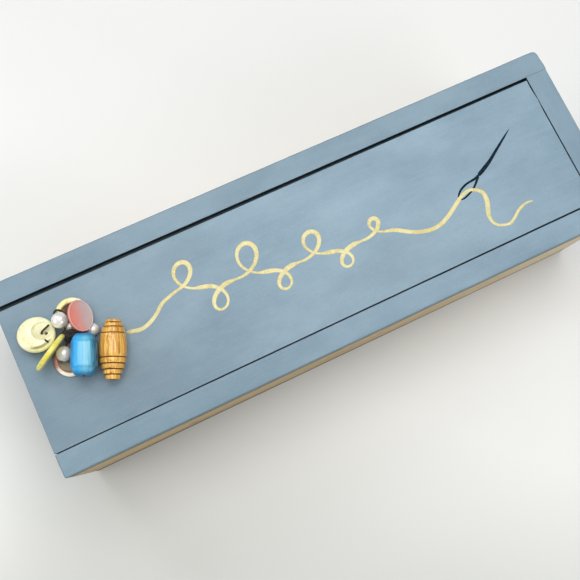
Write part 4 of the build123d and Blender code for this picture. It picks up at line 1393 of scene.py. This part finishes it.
TANGLE = [
    [(-133.9, 10.9, 92.0), (-131.0, 12.2, 92.9), (-128.2, 11.8, 92.5), (-125.9, 11.6, 91.6), (-124.4, 12.9, 90.3), (-125.0, 14.6, 89.4)],
    [(-133.6, 10.6, 92.6), (-131.4, 10.7, 93.3), (-129.2, 10.4, 93.1), (-127.0, 10.1, 92.3), (-125.2, 9.4, 91.5)],
    [(-133.8, 11.2, 93.4), (-134.8, 12.7, 93.0), (-136.5, 13.7, 92.0), (-137.4, 13.3, 90.6), (-136.6, 12.4, 89.2)],
    [(-133.9, 10.4, 93.2), (-134.8, 9.1, 93.3), (-135.7, 7.6, 93.4), (-136.7, 6.3, 93.7)],
    [(-136.4, 11.5, 89.2), (-134.6, 13.8, 90.2), (-131.6, 13.2, 91.0), (-129.9, 11.6, 91.4), (-131.0, 9.9, 91.6), (-133.9, 8.3, 90.8), (-136.2, 9.3, 89.6)],
    [(-136.9, 10.0, 90.9), (-135.2, 12.2, 93.3), (-132.6, 12.6, 94.1), (-130.6, 11.0, 94.2), (-131.8, 9.6, 93.8), (-133.8, 8.4, 92.4), (-135.6, 8.6, 90.6)],
    [(-136.6, 8.4, 89.4), (-134.0, 12.9, 89.2), (-129.6, 13.4, 89.3), (-126.9, 12.0, 89.8), (-127.4, 10.6, 89.6), (-129.6, 10.1, 89.3)],
    [(-133.8, 15.3, 94.1), (-134.0, 13.6, 93.9), (-133.9, 12.0, 93.3)],
    [(-125.6, 8.0, 97.6), (-126.2, 9.6, 96.4), (-128.2, 10.8, 94.8), (-130.8, 11.2, 93.8), (-133.2, 10.9, 93.4)],
    [(-137.6, 12.2, 89.0), (-136.4, 11.0, 91.6), (-134.6, 10.0, 93.6), (-132.6, 9.8, 94.2), (-131.2, 10.2, 92.8), (-130.6, 10.9, 90.0)],
    [(-135.9, 14.6, 89.0), (-135.0, 14.3, 90.2), (-133.4, 13.6, 90.9), (-130.6, 12.9, 90.2), (-128.3, 12.6, 89.0)],
]


def tangle():
    parts = [tube("t", pts, r=0.52, per=6, seg=12) for pts in TANGLE]
    bm = bmesh.new()
    for p in parts:
        bm.from_mesh(p.data)
    me = bpy.data.meshes.new("cord_tangle")
    bm.to_mesh(me)
    bm.free()
    for p in parts:
        d = p.data
        bpy.data.objects.remove(p)
        bpy.data.meshes.remove(d)
    return smooth(link("cord_tangle", me), 60)


finish(tangle(), "lid", "black_cord", CORD)


def line_cord(name, node, direction, length, wave):
    c = Vector(mid(node))
    d = Vector(direction).normalized()
    s = Vector((0, 0, 1))
    pts = []
    for i in range(13):
        t = -0.5 + i / 12
        pts.append(tuple(c + d * (t * (length - 0.3)) + s * (wave * math.sin(t * 9))))
    return tube(name, pts, per=4)


finish(line_cord("barrel_elastic", "barrel_cord", (0.3987, 0.9171, 0), 29.6, 0.10), "lid", "black_cord", CORD, "barrel_cord")
finish(line_cord("blue_elastic", "blue_cord", (0.385, 0.9229, 0), 22.0, 0.05), "lid", "black_cord", CORD, "blue_cord")
s_lo, s_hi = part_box("shell_cord")
SX, SY, SZ = s_lo.x / MM, s_lo.y / MM, s_lo.z / MM
SHELL_LEFT = [(1.30, 5.90, 0.10), (1.65, 6.55, 1.3), (2.45, 7.25, 2.75), (3.55, 7.75, 3.55), (4.75, 7.45, 3.45), (5.75, 6.45, 2.7),
              (6.55, 5.20, 1.85), (7.30, 4.20, 1.35)]
SHELL_RIGHT = [(12.2, 6.6, 2.6), (13.6, 6.4, 3.45), (15.4, 5.9, 3.60), (17.0, 4.9, 3.55), (18.15, 3.65, 3.05), (18.65, 2.45, 1.9),
               (18.75, 1.55, 0.55)]


def shell_cords():
    """Two ends of the elastic that holds the upper shell button: over its rim, down into its dish."""
    parts = [tube("t", [(SX + a, SY + b, SZ + c) for a, b, c in pts]) for pts in (SHELL_LEFT, SHELL_RIGHT)]
    bm = bmesh.new()
    for p in parts:
        bm.from_mesh(p.data)
    me = bpy.data.meshes.new("shell_elastic")
    bm.to_mesh(me)
    bm.free()
    for p in parts:
        d = p.data
        bpy.data.objects.remove(p)
        bpy.data.meshes.remove(d)
    return smooth(link("shell_elastic", me), 60)


finish(shell_cords(), "lid", "black_cord", CORD, "shell_cord")


def glue():
    """A squeezed blob of clear yellowed glue under the knot."""
    g_lo, g_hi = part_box("glue_pad")
    cx, cy = (g_lo.x + g_hi.x) / 2 / MM, (g_lo.y + g_hi.y) / 2 / MM
    z0, z1 = g_lo.z / MM, g_hi.z / MM
    seg, rings = 72, 10
    verts, faces = [], []
    rim = [2.45 + 0.28 * noise.noise(Vector((math.cos(2 * math.pi * j / seg) * 1.6, math.sin(2 * math.pi * j / seg) * 1.6, 2.0)))
           for j in range(seg)]
    top = []
    for i in range(rings + 1):
        a = math.radians(90 * i / rings)
        top.append((math.cos(a) ** 0.55 if i < rings else 0.0, math.sin(a)))
    top = top[:-1]
    verts += [((cx + rim[j] * math.cos(2 * math.pi * j / seg)) * MM, (cy + rim[j] * math.sin(2 * math.pi * j / seg)) * MM, z0 * MM)
              for j in range(seg)]
    for i, (k, h) in enumerate(top):
        for j in range(seg):
            a = 2 * math.pi * j / seg
            w = 0.06 * noise.noise(Vector((math.cos(a) * k * 3, math.sin(a) * k * 3, 5.0)))
            verts.append(((cx + rim[j] * k * math.cos(a)) * MM, (cy + rim[j] * k * math.sin(a)) * MM,
                          (z0 + 0.05 + (z1 - z0 - 0.08) * (h + w * (1 - abs(2 * h - 1)))) * MM))
    n = len(top)
    for i in range(n):
        for j in range(seg):
            j2 = (j + 1) % seg
            faces.append((i * seg + j, i * seg + j2, (i + 1) * seg + j2, (i + 1) * seg + j))
    faces.append(tuple(range(seg))[::-1])
    faces.append(tuple(n * seg + j for j in range(seg)))
    return smooth(link("glue_blob", mesh_of("glue_blob", verts, faces)), 60)


def glue_material():
    m = Mat("glue")
    cloud = m.noise(m.stretch(1.5, 1.5, 1.5), 1.0, 3.0, 0.6)
    col = m.mix(m.step(cloud, 0.35, 0.65), (0.420, 0.370, 0.220), (0.600, 0.560, 0.400))
    m.set(color=col, rough=0.22, spec=0.5, coat=0.6, coat_rough=0.08, sss=0.3, sss_radius=(1, 0.8, 0.4), sss_scale=1 * MM,
          normal=m.bump(cloud, 0.1 * MM, 0.4))
    return m.m


finish(glue(), "lid", "glue", glue_material(), "glue_pad")


# ---------------------------------------------------------------------------
# Brads
# ---------------------------------------------------------------------------
def brad_mesh(length):
    """Head slightly domed with a worn rim, ringed shank, point."""
    prof = [(1e-5, -0.02), (0.6, -0.03), (1.1, -0.08), (1.36, -0.18), (1.49, -0.34), (1.5, -0.62), (1.42, -0.84), (1.0, -0.9), (0.80, -0.95)]
    z = -1.3
    while z > -(length - 3.2):
        prof += [(0.795, z), (0.74, z - 0.12), (0.795, z - 0.24)]
        z -= 1.35 if z > -8 else 3.0
    prof += [(0.80, -(length - 2.0)), (0.45, -(length - 0.9)), (1e-5, -length)]
    return prof


def brads(name, node, places):
    parts = []
    for i, (pos, out, length) in enumerate(places):
        ob = turned(name, brad_mesh(length), 28, placed(pos, out), closed=False)
        ob.data.transform(ob.matrix_world)
        ob.matrix_world = Matrix.Identity(4)
        parts.append(ob)
    bm = bmesh.new()
    for p in parts:
        bm.from_mesh(p.data)
    me = bpy.data.meshes.new(name)
    bm.to_mesh(me)
    bm.free()
    for p in parts:
        d = p.data
        bpy.data.objects.remove(p)
        bpy.data.meshes.remove(d)
    ob = smooth(link(name, me), 40)
    return finish(ob, "box", "brad_steel", BRAD, node)


def brad_material():
    m = Mat("brad_steel")
    rust = m.noise(m.stretch(1.1, 1.1, 1.1), 1.0, 4.0, 0.6)
    fine = m.noise(m.stretch(0.25, 0.25, 0.25), 1.0, 2.0, 0.6)
    col = m.mix(m.step(rust, 0.46, 0.66, 0.0, 0.75), (0.40, 0.39, 0.37), (0.16, 0.075, 0.035))
    m.set(color=col, metal=m.step(rust, 0.46, 0.66, 0.95, 0.25), rough=m.step(fine, 0.3, 0.7, 0.32, 0.55),
          normal=m.bump(fine, 0.04 * MM, 0.6))
    return m.m


BRAD = brad_material()
BX = XR / MM - 6.5
brads("side_brad_set", "side_brads", [((x, s * (YB / MM - 0.4), z), (0, s, 0), 30.0)
                                      for s in (-1, 1) for x in (BX, -BX) for z in (16, 42, 67)])
brads("bottom_brad_set", "bottom_brads",
      [((x, s * 46.25, 0.4), (0, 0, -1), 26.0) for s in (-1, 1) for x in (-128, -64, 0, 64, 128)]
      + [((x, 0.0, 0.4), (0, 0, -1), 26.0) for x in (-BX, BX)])


# ---------------------------------------------------------------------------
# Floor and light
# ---------------------------------------------------------------------------
def floor_piece():
    n = 24
    verts, faces = [], []
    for i in range(n + 1):
        for j in range(n + 1):
            verts.append((-1.6 + 3.2 * i / n, -1.6 + 3.2 * j / n, -0.00004))
    for i in range(n):
        for j in range(n):
            a = i * (n + 1) + j
            faces.append((a, a + n + 1, a + n + 2, a + 1))
    ob = link("floor", mesh_of("floor", verts, faces))
    m = Mat("floor_paper")
    x, y, z = m.xyz()
    grain = m.noise(m.stretch(1.2, 1.2, 1.2), 1.0, 3.0, 0.6)
    slow = m.noise(m.stretch(160, 160, 160), 1.0, 2.0, 0.5)
    # painted light and shade on the floor: darker towards the front left, lighter towards the back right
    t = m.math("ADD", x, y)
    col = m.ramp(m.math("MULTIPLY_ADD", t, 1.0, 0.5, clamp=True),
                 [(0.14, FLOOR_A), (0.24, FLOOR_A), (0.31, (0.610, 0.615, 0.592)), (0.42, (0.735, 0.739, 0.722)),
                  (0.54, (0.758, 0.763, 0.752)), (0.66, FLOOR_B)])
    # painted light on the floor by the box's left end
    lit = m.math("MULTIPLY", m.step(x, -0.30, -0.15, 1.0, 0.0), m.step(m.math("ABSOLUTE", y), 0.02, 0.14, 1.0, 0.0))
    col = m.mix(m.math("MULTIPLY", lit, 0.95), col, (0.930, 0.932, 0.905))
    col = m.mix(m.step(slow, 0.35, 0.65, 0.0, 0.08), col, (0.66, 0.66, 0.645))
    m.set(color=col, rough=0.7, spec=0.25, normal=m.bump(grain, 0.02 * MM, 0.25))
    ob.data.materials.append(m.m)
    return ob


FLOOR_A, FLOOR_B = (0.552, 0.557, 0.532), (0.712, 0.717, 0.707)
floor = floor_piece()


def area(name, pos, target, size, power, color=(1, 1, 1), size_y=None):
    d = bpy.data.lights.new(name, "AREA")
    d.energy = power
    d.color = color
    d.shape = "RECTANGLE" if size_y else "SQUARE"
    d.size = size
    if size_y:
        d.size_y = size_y
    ob = bpy.data.objects.new(name, d)
    scene.collection.objects.link(ob)
    ob.location = pos
    z = (Vector(pos) - Vector(target)).normalized()
    ob.rotation_euler = z.to_track_quat("Z", "Y").to_euler()
    return ob


area("overhead", (0.09, 0.17, 1.05), (0.03, 0.02, 0), 0.80, 7.1, (1.0, 0.995, 0.985), 0.68)
area("front_fill", (0.60, -1.25, 0.95), (0.06, 0, 0.04), 1.1, 6.5, (1.0, 0.99, 0.97), 0.9)
area("left_fill", (-1.10, 0.25, 0.65), (-0.05, 0, 0.05), 0.80, 3.4, (0.98, 0.99, 1.0), 0.80)
area("window", (-0.45, 1.15, 1.25), (0, 0, 0.05), 0.40, 3.6, (0.97, 0.985, 1.0), 0.50)

world = bpy.data.worlds.new("world")
scene.world = world
world.use_nodes = True
wt = world.node_tree
wt.nodes.clear()
wo = wt.nodes.new("ShaderNodeOutputWorld")
bg = wt.nodes.new("ShaderNodeBackground")
tc = wt.nodes.new("ShaderNodeTexCoord")
sep = wt.nodes.new("ShaderNodeSeparateXYZ")
wt.links.new(tc.outputs["Generated"], sep.inputs[0])
cr = wt.nodes.new("ShaderNodeValToRGB")
cr.color_ramp.elements[0].position = 0.0
cr.color_ramp.elements[0].color = (0.30, 0.29, 0.28, 1)
cr.color_ramp.elements[1].position = 0.75
cr.color_ramp.elements[1].color = (0.84, 0.85, 0.86, 1)
side_l = wt.nodes.new("ShaderNodeMath")
side_l.operation = "MULTIPLY_ADD"
side_l.inputs[1].default_value = 0.30
side_l.inputs[2].default_value = 1.0
wt.links.new(sep.outputs[0], side_l.inputs[0])
scl = wt.nodes.new("ShaderNodeVectorMath")
scl.operation = "SCALE"
wt.links.new(sep.outputs[2], cr.inputs[0])
wt.links.new(cr.outputs[0], scl.inputs[0])
wt.links.new(side_l.outputs[0], scl.inputs["Scale"])
wt.links.new(scl.outputs[0], bg.inputs[0])
bg.inputs[1].default_value = 0.63
wt.links.new(bg.outputs[0], wo.inputs[0])

scene.view_settings.view_transform = "Standard"
scene.view_settings.look = "None"
scene.view_settings.exposure = 0.0
scene.view_settings.gamma = 1.0
